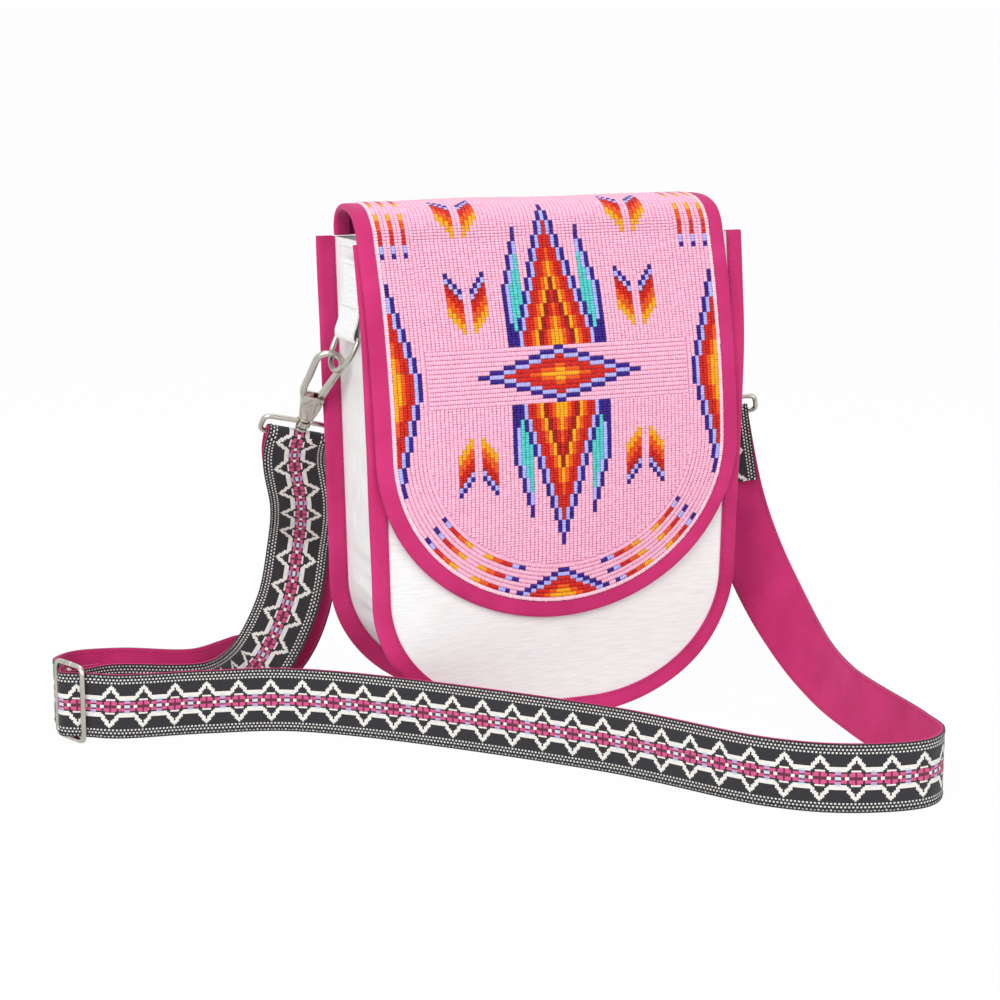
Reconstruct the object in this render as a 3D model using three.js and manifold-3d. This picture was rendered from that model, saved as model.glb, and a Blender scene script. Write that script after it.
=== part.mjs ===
import * as THREE from 'three';
import Module from 'manifold-3d';

const wasm = await Module();
wasm.setup();

// Bag body, in millimetres. The front faces -Y and the bag stands on z = 0.
const PANEL_TOP = 250;        // width of a panel over its binding at the mouth
const PANEL_LOW = 238;        // width where the lower corners begin
const PANEL_HIGH = 287;       // height of a panel
const CORNER_X = 98;          // lower corner, measured across
const CORNER_Z = 82;          // lower corner, measured up
const DEPTH = 70;             // between the middles of the two bound edges
const GAP = 0.3;              // clearance between pieces that touch
const PANEL_THICK = 1.4;      // panel cloth with its stiffener
const GUSSET_THICK = 1.0;     // gusset cloth
const SUEDE = 0.7;            // binding suede
const BINDING = 10.5;         // width of the binding seen from the front
const LEAN = 11;              // how far the front leans back at the mouth
const LEAN_FROM = 185;        // height where the lean begins

// Flap: cloth lining, beadwork on its face, suede round its edge.
const FLAP_HALF = 117;        // half width down the front
const FLAP_REAR = 113;        // half width at the back seam
const FLAP_END = 102;         // height of the rounded end
const FLAP_LOW = 63;          // lowest point above the floor
const FOLD_LOW = 288;         // where the front begins to roll back
const FOLD_TOP = 305.5;       // inside of the roll at its highest
const FOLD_MID = -3;          // Y of the highest point
const FOLD_FULL = 0.86;       // fullness of the roll, 1 for an ellipse
const LINING = 1.6;           // flap lining with its stiffener
const BEAD = 1.5;             // height of the beadwork
const FIELD = 0.5;            // height of one coloured bead field
const BAND = 146;             // from the flap's end up to the middle of the cross band
const PITCH = 1.5;            // from bead to bead along a lane: unit of the fields
const STROKE = -6.5;          // how far the flap is stroked to the left where it turns over the mouth
const STROKE_FROM = 75;       // where that begins, along the flap
const STROKE_OVER = 150;      // length over which it grows
const STEP = 24;              // height between the joints of sheets that lean together

// Rings, hooks and slider.
const WIRE = 3.2;             // ring and slider wire
const TAB_WIDE = 28;          // cloth tab that holds a D ring
const TAB_CLOTH = 1.0;
const TAB_HIGH = 44;
const RING_HIGH = 232;        // height of the D ring's straight bar
const RING_HALF = 17;         // half width of the D ring, wire middle
const RING_LEG = 4;           // straight legs of the D ring
const RING_TILT = 25;         // how far the D ring hangs out from the gusset, degrees
const HOOK_WIRE = 4.2;
const HOOK_HALF = 7.8;        // half width of the hook, wire middle
const GATE_WIDE = 3.0;
const GATE_THICK = 3.2;
const GATE_AT = 19;           // pivot above the swivel
const GATE_SIDE = 3.4;        // pivot beside the hook's axis
const BODY_THICK = 6.0;
const BODY_LOW = 4;           // hook body: its foot, waist and top above the swivel
const BODY_WAIST = 15;
const BODY_TOP = 22.5;
const BODY_FOOT = 4.0;        // half width at the foot
const BODY_OUT = 5.9;         // half width on the gate's side
const BODY_IN = 6.8;          // half width on the bend's side
const PIN = 1.0;
const POST = 2.2;             // radius of the swivel post
const LOOP_HALF = 24;         // half width of the strap loop, wire middle
const LOOP_LONG = 12;         // from the swivel to the bar that carries the strap
const SLIDE_LONG = 27;        // between the slider's outer bars
const SLIDE_SIDE = 1.2;       // room beside the strap in the slider

// Strap: a woven ribbon sewn on a suede backing.
const STRAP = 38;
const RIBBON = 0.9;
const BACKING = 1.1;
const ROW = 13;               // length between the joints of the strap

// Strap route: middle of the strap and the direction of its upper edge.
const ROUTE = [
  [149.2, 27.5, 120, 0.91, -0.40, 0.06],
  [146.0, 35.1, 161.4, 0.873, -0.474, 0.122],
  [146.1, 36.3, 165.4, 0.873, -0.474, 0.122],
  [147.2, 38.6, 166.8, 0.873, -0.474, 0.122],
  [148.6, 40.9, 165.4, 0.873, -0.474, 0.122],
  [149.6, 41.6, 161.4, 0.873, -0.474, 0.122],
  [153.0, 26.0, 112, 0.90, -0.38, 0.16],
  [155.5, 4.0, 78, 0.84, -0.25, 0.46],
  [153.0, -38.0, 48, 0.60, -0.12, 0.79],
  [146.5, -90.0, 28.5, 0.27, -0.04, 0.96],
  [140.0, -140.0, 21.2, 0.06, 0, 1],
  [130.5, -232.0, 19.4, 0, 0, 1],
  [123.0, -260.0, 19.4, 0, 0, 1],
  [104.0, -273.5, 19.4, 0, 0, 1],
  [62.0, -265.0, 19.4, 0, 0, 1],
  [29.0, -239.0, 19.4, 0, 0, 1],
  [-26.0, -146.0, 19.4, 0, 0, 1],
  [-153.0, -6.0, 19.4, 0, 0, 1],
  [-205.0, 13.0, 19.4, 0, 0, 1],
  [-258.0, 15.6, 22.0, 0, 0, 1],
  [-273.2, 21.3, 23.2, 0, 0, 1],
  [-287.0, 30.9, 23.2, 0, 0, 1],
  [-281.6, 47.1, 23.2, 0, 0, 1],
  [-281.0, 67.0, 21.4, 0, 0, 1],
  [-263.0, 87.5, 19.4, 0, 0, 1],
  [-236.0, 83.0, 19.4, 0, 0, 1],
  [-198.8, 59.0, 20.6, 0, 0, 1],
  [-164.2, 73.5, 21.5, -0.42, 0.28, 0.86],
  [-138.4, 82.7, 25.5, -0.768, 0.446, 0.46],
  [-117.9, 93.4, 53.4, -0.794, 0.447, 0.414],
  [-111.5, 101.6, 88.9, -0.861, 0.442, 0.252],
  [-121.2, 77.7, 122.6, -0.92, 0.39, 0.02],
  [-131.2, 64.2, 155.3, -0.970, 0.100, 0.217],
  [-132.4, 54.6, 167.6, -0.970, 0.100, 0.217],
  [-132.4, 50.9, 169.7, -0.970, 0.100, 0.217],
  [-132.8, 48.1, 168.9, -0.970, 0.100, 0.217],
  [-133.5, 47.3, 166.2, -0.970, 0.100, 0.217],
  [-134.1, 49.3, 162.6, -0.970, 0.100, 0.217],
  [-132.9, 57.5, 150.5, -0.970, 0.100, 0.217],
  [-123.6, 72.3, 118.8, -0.92, 0.39, 0.02],
  [-119.4, 92.0, 88.1, -0.861, 0.442, 0.252],
  [-129.7, 82.1, 57.5, -0.794, 0.447, 0.414],
  [-149.8, 69.0, 30.0, -0.768, 0.446, 0.46],
  [-166.9, 55.8, 21.0, -0.45, 0.30, 0.84],
  [-202.0, 30.0, 19.6, 0, 0, 1],
  [-254.0, 40.0, 21.8, 0, 0, 1],
  [-280.0, 29.6, 23.2, 0, 0, 1],
  [-284.3, 31.8, 23.2, 0, 0, 1],
  [-282.1, 36.1, 23.2, 0, 0, 1],
  [-262.0, 42.0, 22.6, 0, 0, 1],
];

const FIN = SUEDE * 2 + PANEL_THICK + GUSSET_THICK + GAP * 3;
const BEAD_SIDE = BINDING + GAP;
const FLAP_Y = -(DEPTH / 2 + FIN / 2 + 2 * GAP + SUEDE);
const REAR_Y = DEPTH / 2 - LINING / 2;
const GROUND = LINING + GAP + BEAD;
const TIERS = 3;
const FACE = GROUND + TIERS * (FIELD + GAP);
const MIDDLE = (FACE - FLAP_Y - REAR_Y - GROUND) / 2;   // puts the middle of the bag on Y = 0

const bag = new THREE.Group();
bag.name = 'beaded_crossbody_bag';

function add(name, geometry, colour, roughness, metalness) {
  const material = new THREE.MeshStandardMaterial({ color: colour, roughness, metalness });
  const mesh = new THREE.Mesh(geometry, material);
  mesh.name = name;
  mesh.position.y = MIDDLE;
  bag.add(mesh);
  return mesh;
}

const white = [0xebebe9, 0.9, 0];
const magenta = [0xc9307a, 0.95, 0];
const nickel = [0xc9c5b8, 0.28, 1];

// Closed skin over rings of points, with flat ends. In a thin layer both sides are split along the
// same diagonal, so it keeps its thickness where it twists.
function loft(rings, thin = false) {
  const n = rings[0].length;
  const position = [];
  const index = [];
  rings.forEach((ring) => ring.forEach((p) => position.push(p[0], p[1], p[2])));
  for (let i = 0; i + 1 < rings.length; i++) {
    for (let j = 0; j < n; j++) {
      const a = i * n + j;
      const b = i * n + (j + 1) % n;
      if (thin && j >= n / 2) index.push(a, b, a + n, b, b + n, a + n);
      else index.push(a, b, b + n, a, b + n, a + n);
    }
  }
  const outline = rings[0].map((p, j) => j);
  const last = (rings.length - 1) * n;
  const flat = capTriangles(rings[0]);
  flat.forEach((t) => index.push(outline[t[0]], outline[t[2]], outline[t[1]]));
  flat.forEach((t) => index.push(last + t[0], last + t[1], last + t[2]));
  const geometry = new THREE.BufferGeometry();
  geometry.setAttribute('position', new THREE.Float32BufferAttribute(position, 3));
  geometry.setIndex(index);
  return outward(geometry);
}

function capTriangles(ring) {
  const origin = new THREE.Vector3(...ring[0]);
  const u = new THREE.Vector3(...ring[1]).sub(origin).normalize();
  const normal = new THREE.Vector3();
  ring.forEach((p, i) => {
    const q = ring[(i + 1) % ring.length];
    normal.add(new THREE.Vector3(...p).sub(origin).cross(new THREE.Vector3(...q).sub(origin)));
  });
  normal.normalize();
  const v = normal.clone().cross(u);
  const flat = ring.map((p) => {
    const d = new THREE.Vector3(...p).sub(origin);
    return new THREE.Vector2(d.dot(u), d.dot(v));
  });
  return THREE.ShapeUtils.triangulateShape(flat, []);
}

// Turns a closed skin inside out where its volume comes out negative.
function outward(geometry) {
  const p = geometry.getAttribute('position');
  const index = geometry.getIndex();
  const a = new THREE.Vector3();
  const b = new THREE.Vector3();
  const c = new THREE.Vector3();
  let volume = 0;
  for (let i = 0; i < index.count; i += 3) {
    a.fromBufferAttribute(p, index.getX(i));
    b.fromBufferAttribute(p, index.getX(i + 1));
    c.fromBufferAttribute(p, index.getX(i + 2));
    volume += a.dot(b.cross(c));
  }
  if (volume < 0) {
    for (let i = 0; i < index.count; i += 3) {
      const t = index.getX(i + 1);
      index.setX(i + 1, index.getX(i + 2));
      index.setX(i + 2, t);
    }
  }
  geometry.computeVertexNormals();
  return geometry;
}

// Joins or cuts closed solids.
function solid(geometry) {
  const p = geometry.getAttribute('position');
  const index = geometry.getIndex();
  const count = index ? index.count : p.count;
  const seen = new Map();
  const vertices = [];
  const triangles = [];
  for (let i = 0; i < count; i++) {
    const k = index ? index.getX(i) : i;
    const at = [p.getX(k), p.getY(k), p.getZ(k)];
    const key = at.map((x) => Math.round(x * 1e4)).join();
    if (!seen.has(key)) {
      seen.set(key, vertices.length / 3);
      vertices.push(...at);
    }
    triangles.push(seen.get(key));
  }
  const kept = [];
  for (let i = 0; i < triangles.length; i += 3) {
    const [a, b, c] = triangles.slice(i, i + 3);
    if (a !== b && b !== c && c !== a) kept.push(a, b, c);
  }
  return new wasm.Manifold(new wasm.Mesh({
    numProp: 3,
    vertProperties: new Float32Array(vertices),
    triVerts: new Uint32Array(kept),
  }));
}

function skin(made) {
  const mesh = made.getMesh();
  const geometry = new THREE.BufferGeometry();
  geometry.setAttribute('position', new THREE.Float32BufferAttribute(mesh.vertProperties, 3));
  geometry.setIndex(Array.from(mesh.triVerts));
  geometry.computeVertexNormals();
  return geometry;
}

function join(...pieces) {
  return skin(pieces.map(solid).reduce((a, b) => a.add(b)));
}

function cut(whole, ...holes) {
  return skin(holes.map(solid).reduce((a, b) => a.subtract(b), solid(whole)));
}

// Leans a point of the front back towards the mouth, less the nearer it is to the back.
function lean([x, y, z]) {
  const rise = Math.max(0, z - LEAN_FROM) / (PANEL_HIGH - LEAN_FROM);
  const near = Math.min(1, Math.max(0, (REAR_Y - y) / (REAR_Y - FLAP_Y)));
  return [x, y + LEAN * Math.min(rise, 1) ** 2 * near, z];
}

const joints = [];
for (let z = FLAP_LOW + STEP / 2; z < FOLD_LOW - STEP / 4; z += STEP) joints.push(z);

function halfWidthAt(z) {
  const t = (PANEL_HIGH - z) / (PANEL_HIGH - CORNER_Z);
  return PANEL_TOP / 2 + (PANEL_LOW - PANEL_TOP) / 2 * t;
}

// Outline of a panel from the left of the mouth round the bottom, inset by a distance.
function panelLine(inset, top) {
  const low = PANEL_LOW / 2;
  const points = [];
  const nose = [];
  const straight = joints.filter((z) => z > CORNER_Z + STEP / 4 && z < PANEL_HIGH - STEP / 4);
  [PANEL_HIGH, ...straight.reverse(), CORNER_Z].forEach((z) => nose.push([halfWidthAt(z), z]));
  for (let i = 1; i <= 16; i++) {
    const t = (i / 16) * Math.PI / 2;
    nose.push([low - CORNER_X + CORNER_X * Math.cos(t), CORNER_Z - CORNER_Z * Math.sin(t)]);
  }
  nose.forEach(([x, z]) => points.push([-x, z]));
  nose.slice().reverse().forEach(([x, z]) => points.push([x, z]));
  const moved = points.map(([x, z], i) => {
    const [ax, az] = points[Math.max(i - 1, 0)];
    const [bx, bz] = points[Math.min(i + 1, points.length - 1)];
    const long = Math.hypot(bx - ax, bz - az);
    return [x - (bz - az) / long * inset, z + (bx - ax) / long * inset];
  });
  moved[0][1] = top;
  moved[moved.length - 1][1] = top;
  return moved;
}

// Loft round the U of a panel from a section of (inset, y) corners.
function roundPanel(section, top) {
  const lines = section.map(([inset]) => panelLine(inset, top));
  return loft(lines[0].map((p, i) => section.map(([, y], k) => lean([lines[k][i][0], y, lines[k][i][1]]))));
}

function panel(y) {
  const line = panelLine(SUEDE + GAP, PANEL_HIGH - GAP);
  const left = line.slice(0, line.length / 2);
  return loft(left.map(([x, z]) => [
    lean([x, y, z]), lean([-x, y, z]), lean([-x, y + PANEL_THICK, z]), lean([x, y + PANEL_THICK, z]),
  ]));
}

// Suede strip folded round an edge: its section is a C that opens inward.
function foldedStrip(y0, y1) {
  return [
    [0, y0], [BINDING, y0], [BINDING, y0 + SUEDE], [SUEDE, y0 + SUEDE],
    [SUEDE, y1 - SUEDE], [BINDING, y1 - SUEDE], [BINDING, y1], [0, y1],
  ];
}

// Cloth body: two panels, the gusset between them, and a binding round each seam.
const frontFace = -DEPTH / 2 - FIN / 2;
const frontPanelY = frontFace + SUEDE + GAP;
const flangeY = frontPanelY + PANEL_THICK + GAP;
const edge = SUEDE + GAP;
add('front_panel', panel(frontPanelY), ...white);
add('back_panel', panel(-frontPanelY - PANEL_THICK), ...white);
add('gusset', roundPanel([
  [edge, flangeY], [edge, flangeY + GUSSET_THICK],
  [BINDING + GAP, flangeY + GUSSET_THICK], [BINDING + GAP, -flangeY - GUSSET_THICK],
  [edge, -flangeY - GUSSET_THICK], [edge, -flangeY],
  [BINDING + GAP + GUSSET_THICK, -flangeY], [BINDING + GAP + GUSSET_THICK, flangeY],
], PANEL_HIGH - GAP), ...white);
add('front_binding', roundPanel(foldedStrip(frontFace, frontFace + FIN), PANEL_HIGH), ...magenta);
add('back_binding', roundPanel(foldedStrip(-frontFace - FIN, -frontFace), PANEL_HIGH), ...magenta);

// Side profile of the flap's inside, from its lower end up the front and over to the back seam.
const profile = [];
{
  const raw = [[FLAP_Y, FLAP_LOW]];
  joints.forEach((z) => raw.push([FLAP_Y, z]));
  for (let i = 0; i <= 14; i++) {
    const t = (i / 14) * Math.PI / 2;
    const y = FOLD_MID + (FLAP_Y - FOLD_MID) * Math.cos(t) ** FOLD_FULL;
    raw.push([y, FOLD_LOW + (FOLD_TOP - FOLD_LOW) * Math.sin(t) ** FOLD_FULL]);
  }
  const seam = PANEL_HIGH + GAP;
  for (let i = 1; i <= 12; i++) {
    const t = (i / 12) * Math.PI / 2;
    const y = FOLD_MID + (REAR_Y - FOLD_MID) * Math.sin(t) ** FOLD_FULL;
    raw.push([y, seam + (FOLD_TOP - seam) * Math.cos(t) ** FOLD_FULL]);
  }
  let s = 0;
  raw.forEach(([y, z], i) => {
    if (i) s += Math.hypot(y - raw[i - 1][0], z - raw[i - 1][1]);
    profile.push({ s, y, z });
  });
  profile.forEach((p, i) => {
    const a = profile[Math.max(i - 1, 0)];
    const b = profile[Math.min(i + 1, profile.length - 1)];
    const long = Math.hypot(b.y - a.y, b.z - a.z);
    p.ny = -(b.z - a.z) / long;
    p.nz = (b.y - a.y) / long;
  });
  const first = profile[0];
  const end = profile[profile.length - 1];
  first.ny = -1;
  first.nz = 0;
  end.ny = 1;
  end.nz = 0;
}
const FLAP_LONG = profile[profile.length - 1].s;

// Point on the flap: x across, s along the cloth from its lower end, h out from the lining.
function onFlap(x, s, h) {
  let i = 1;
  while (i < profile.length - 1 && profile[i].s < s) i++;
  const a = profile[i - 1];
  const b = profile[i];
  const t = (s - a.s) / (b.s - a.s);
  const y = a.y + (b.y - a.y) * t + (a.ny + (b.ny - a.ny) * t) * h;
  const z = a.z + (b.z - a.z) * t + (a.nz + (b.nz - a.nz) * t) * h;
  const rise = Math.min(1, Math.max(0, (s - STROKE_FROM) / STROKE_OVER));
  const turned = STROKE_FROM + STROKE_OVER;
  const back = Math.max(0, (s - turned) / (FLAP_LONG - turned));
  return lean([x + STROKE * (rise - back), y, z]);
}

// Edge of the flap as (half width, s), inset by a distance.
function flapEdge(inset) {
  const line = [];
  for (let i = 0; i <= 22; i++) {
    const t = (i / 22) * Math.PI / 2;
    line.push([FLAP_HALF * Math.sin(t), FLAP_END - FLAP_END * Math.cos(t)]);
  }
  const fold = profile.filter((p) => p.s > FLAP_END + 4);
  const turn = profile.find((p) => p.z >= FOLD_TOP - 0.01).s;
  fold.forEach((p) => {
    const t = Math.max(0, (p.s - turn) / (FLAP_LONG - turn));
    line.push([FLAP_HALF + (FLAP_REAR - FLAP_HALF) * t, p.s]);
  });
  return line.map(([x, s], i) => {
    const [ax, as] = line[Math.max(i - 1, 0)];
    const [bx, bs] = line[Math.min(i + 1, line.length - 1)];
    const long = Math.hypot(bx - ax, bs - as);
    const mx = i ? x - (bs - as) / long * inset : 0;
    const ms = i ? s + (bx - ax) / long * inset : inset;
    return [Math.max(mx, 0), i === line.length - 1 ? FLAP_LONG : ms];
  });
}

// Sheet on the flap between two heights, inside its edge by an inset.
function flapSheet(inset, low, high) {
  const rows = flapEdge(inset).slice(1);
  return loft(rows.map(([x, s]) => [
    onFlap(-x, s, low), onFlap(x, s, low), onFlap(x, s, high), onFlap(-x, s, high),
  ]));
}

const rim = foldedStrip(-SUEDE - GAP, LINING + GAP + SUEDE);
const rims = rim.map(([inset]) => flapEdge(inset));
const half = rims[0].map((p, i) => rim.map(([, h], k) => [rims[k][i], h]));
const around = half.slice(1).reverse().map((ring) => ring.map(([[x, s], h]) => onFlap(-x, s, h)));
half.forEach((ring) => around.push(ring.map(([[x, s], h]) => onFlap(x, s, h))));
add('flap_lining', flapSheet(SUEDE + GAP, 0, LINING), 0xa02560, 0.9, 0);
add('flap_binding', loft(around), ...magenta);
add('bead_ground', flapSheet(BEAD_SIDE, LINING + GAP, GROUND), 0xf6aecf, 0.35, 0);

const navy = [0x35208c, 0.3, 0];
const red = [0xc8221a, 0.3, 0];
const orange = [0xee5f16, 0.3, 0];
const yellow = [0xf4b324, 0.3, 0];
const turquoise = [0x45c4ba, 0.3, 0];

// Bead field from rows of (beads from the band, left, right), a layer above the ground.
function field(counts, layer) {
  const low = GROUND + GAP + layer * (FIELD + GAP);
  const rows = counts.map((row) => row.map((beads) => beads * PITCH));
  const dense = [];
  rows.forEach((row, i) => {
    if (i) {
      const [v0, l0, r0] = rows[i - 1];
      const bends = profile.map((p) => (p.s - BAND - v0) / (row[0] - v0));
      bends.filter((f) => f > 0.001 && f < 0.999).sort((m, n) => m - n).forEach((f) => {
        dense.push([v0 + (row[0] - v0) * f, l0 + (row[1] - l0) * f, r0 + (row[2] - r0) * f]);
      });
    }
    dense.push(row);
  });
  return loft(dense.map(([v, l, r]) => [
    onFlap(l, BAND + v, low), onFlap(r, BAND + v, low),
    onFlap(r, BAND + v, low + FIELD), onFlap(l, BAND + v, low + FIELD),
  ]));
}

// Field that is the same on both sides of its middle, from (beads from the band, half width).
function evenField(rows, layer) {
  return field(rows.map(([v, half]) => [v, -half, half]), layer);
}

// Tall points above and below the band, each a dark field, a red one and a yellow heart.
for (const [name, way] of [['upper', 1], ['lower', -1]]) {
  const from = (rows) => rows.map(([v, half]) => [way * v, half]);
  add(`${name}_point_edge`, evenField(from([[12, 15.5], [20, 14], [41, 6], [65, 0.7]]), 0), ...navy);
  add(`${name}_point_flame`, evenField(from([[13, 13], [21, 11.5], [40, 4.3], [56, 0.7]]), 1), ...red);
  add(`${name}_point_heart`, evenField(from([[13.5, 5.3], [23, 4.7], [33, 2], [40, 0.6]]), 2), ...yellow);
}
add('cross_edge', evenField([[-10, 2], [0, 35], [10, 2]], 0), ...navy);
add('cross_flame', evenField([[-7.3, 2], [0, 27], [7.3, 2]], 1), ...red);
add('cross_heart', evenField([[-2.7, 1.4], [0, 11], [2.7, 1.4]], 2), ...yellow);

// Blades beside the points.
for (const [name, way] of [['upper', 1], ['lower', -1]]) {
  for (const [side, hand] of [['left', -1], ['right', 1]]) {
    const rows = [[12, 16.5, 22], [31, 15.5, 21], [44, 13.5, 17.5], [55, 13, 14.5]];
    const placed = rows.map(([v, a, b]) => (hand > 0 ? [way * v, a, b] : [way * v, -b, -a]));
    add(`${name}_${side}_blade`, field(placed, 0), ...turquoise);
  }
}

// Feathers in pairs that lean together.
const feathers = [['crown', 54, 1], ['brow', 20, 1], ['foot', -24, -1]];
const featherLong = 24;
const featherLean = 2.3;
for (const [name, start, way] of feathers) {
  for (const [side, hand] of [['left', -1], ['right', 1]]) {
    for (const [place, x, tilt] of [['inner', 31, -1], ['outer', 41, 1]]) {
      const rows = [[0, 1.5], [0.3, 3], [1, 2]].map(([t, wide]) => {
        const mid = hand * (x + tilt * featherLean * t);
        return [start + way * featherLong * t, mid - wide, mid + wide];
      });
      add(`${side}_${name}_${place}_feather`, field(rows, 0), ...orange);
    }
  }
}

// Half diamonds against the binding at both sides and at the end, from (beads from the band, reach).
const rimX = (FLAP_HALF - BEAD_SIDE) / PITCH - 0.3;
for (const [side, hand] of [['left', -1], ['right', 1]]) {
  const lay = (rows) => rows.map(([v, reach]) => (
    hand > 0 ? [v, rimX - reach, rimX] : [v, -rimX, reach - rimX]
  ));
  const edgeRows = lay([[-28, 4], [-13, 8], [0, 12], [15, 8], [37, 1.3]]);
  const flameRows = lay([[-25, 2], [-13, 5], [0, 8.7], [15, 5.3], [32, 1]]);
  add(`${side}_rim_diamond_edge`, field(edgeRows, 0), ...navy);
  add(`${side}_rim_diamond_flame`, field(flameRows, 1), ...red);
}
add('end_diamond_edge', evenField([[-88.5, 15.3], [-84.5, 10], [-78, 1.3]], 0), ...navy);
add('end_diamond_flame', evenField([[-88.5, 10.7], [-85.3, 6], [-81.3, 1]], 1), ...red);

// Straight tube along a path, with round ends cut flat.
function wire(points, radius, steps, smooth) {
  const at = points.map((p) => new THREE.Vector3(...p));
  const path = smooth ? new THREE.CatmullRomCurve3(at, false, 'centripetal') : new THREE.CurvePath();
  if (!smooth) for (let i = 1; i < at.length; i++) path.add(new THREE.LineCurve3(at[i - 1], at[i]));
  const shape = new THREE.Shape();
  shape.absarc(0, 0, radius, 0, Math.PI * 2, false);
  return new THREE.ExtrudeGeometry(shape, { steps, curveSegments: 5, bevelEnabled: false, extrudePath: path });
}

// Closed wire loop through points.
function loopWire(points, radius, steps) {
  const path = new THREE.CatmullRomCurve3(points.map((p) => new THREE.Vector3(...p)), true, 'centripetal');
  return new THREE.TubeGeometry(path, steps, radius, 8, true);
}

function rod(from, to, radius) {
  const a = new THREE.Vector3(...from);
  const d = new THREE.Vector3(...to).sub(a);
  const geometry = new THREE.CylinderGeometry(radius, radius, d.length(), 16);
  geometry.translate(0, d.length() / 2, 0);
  const turn = new THREE.Quaternion().setFromUnitVectors(new THREE.Vector3(0, 1, 0), d.clone().normalize());
  geometry.applyQuaternion(turn);
  geometry.translate(a.x, a.y, a.z);
  return geometry;
}

// Rounded rectangle as points, in a plane given by two directions.
function roundedLoop(middle, u, v, halfU, halfV, corner) {
  const points = [];
  for (const [su, sv, first] of [[1, 1, 0], [-1, 1, 1], [-1, -1, 2], [1, -1, 3]]) {
    for (let i = 0; i <= 3; i++) {
      const t = (first + i / 3) * Math.PI / 2;
      const x = su * (halfU - corner) + corner * Math.cos(t);
      const y = sv * (halfV - corner) + corner * Math.sin(t);
      points.push(middle.map((m, k) => m + u[k] * x + v[k] * y));
    }
  }
  return points;
}

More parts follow.
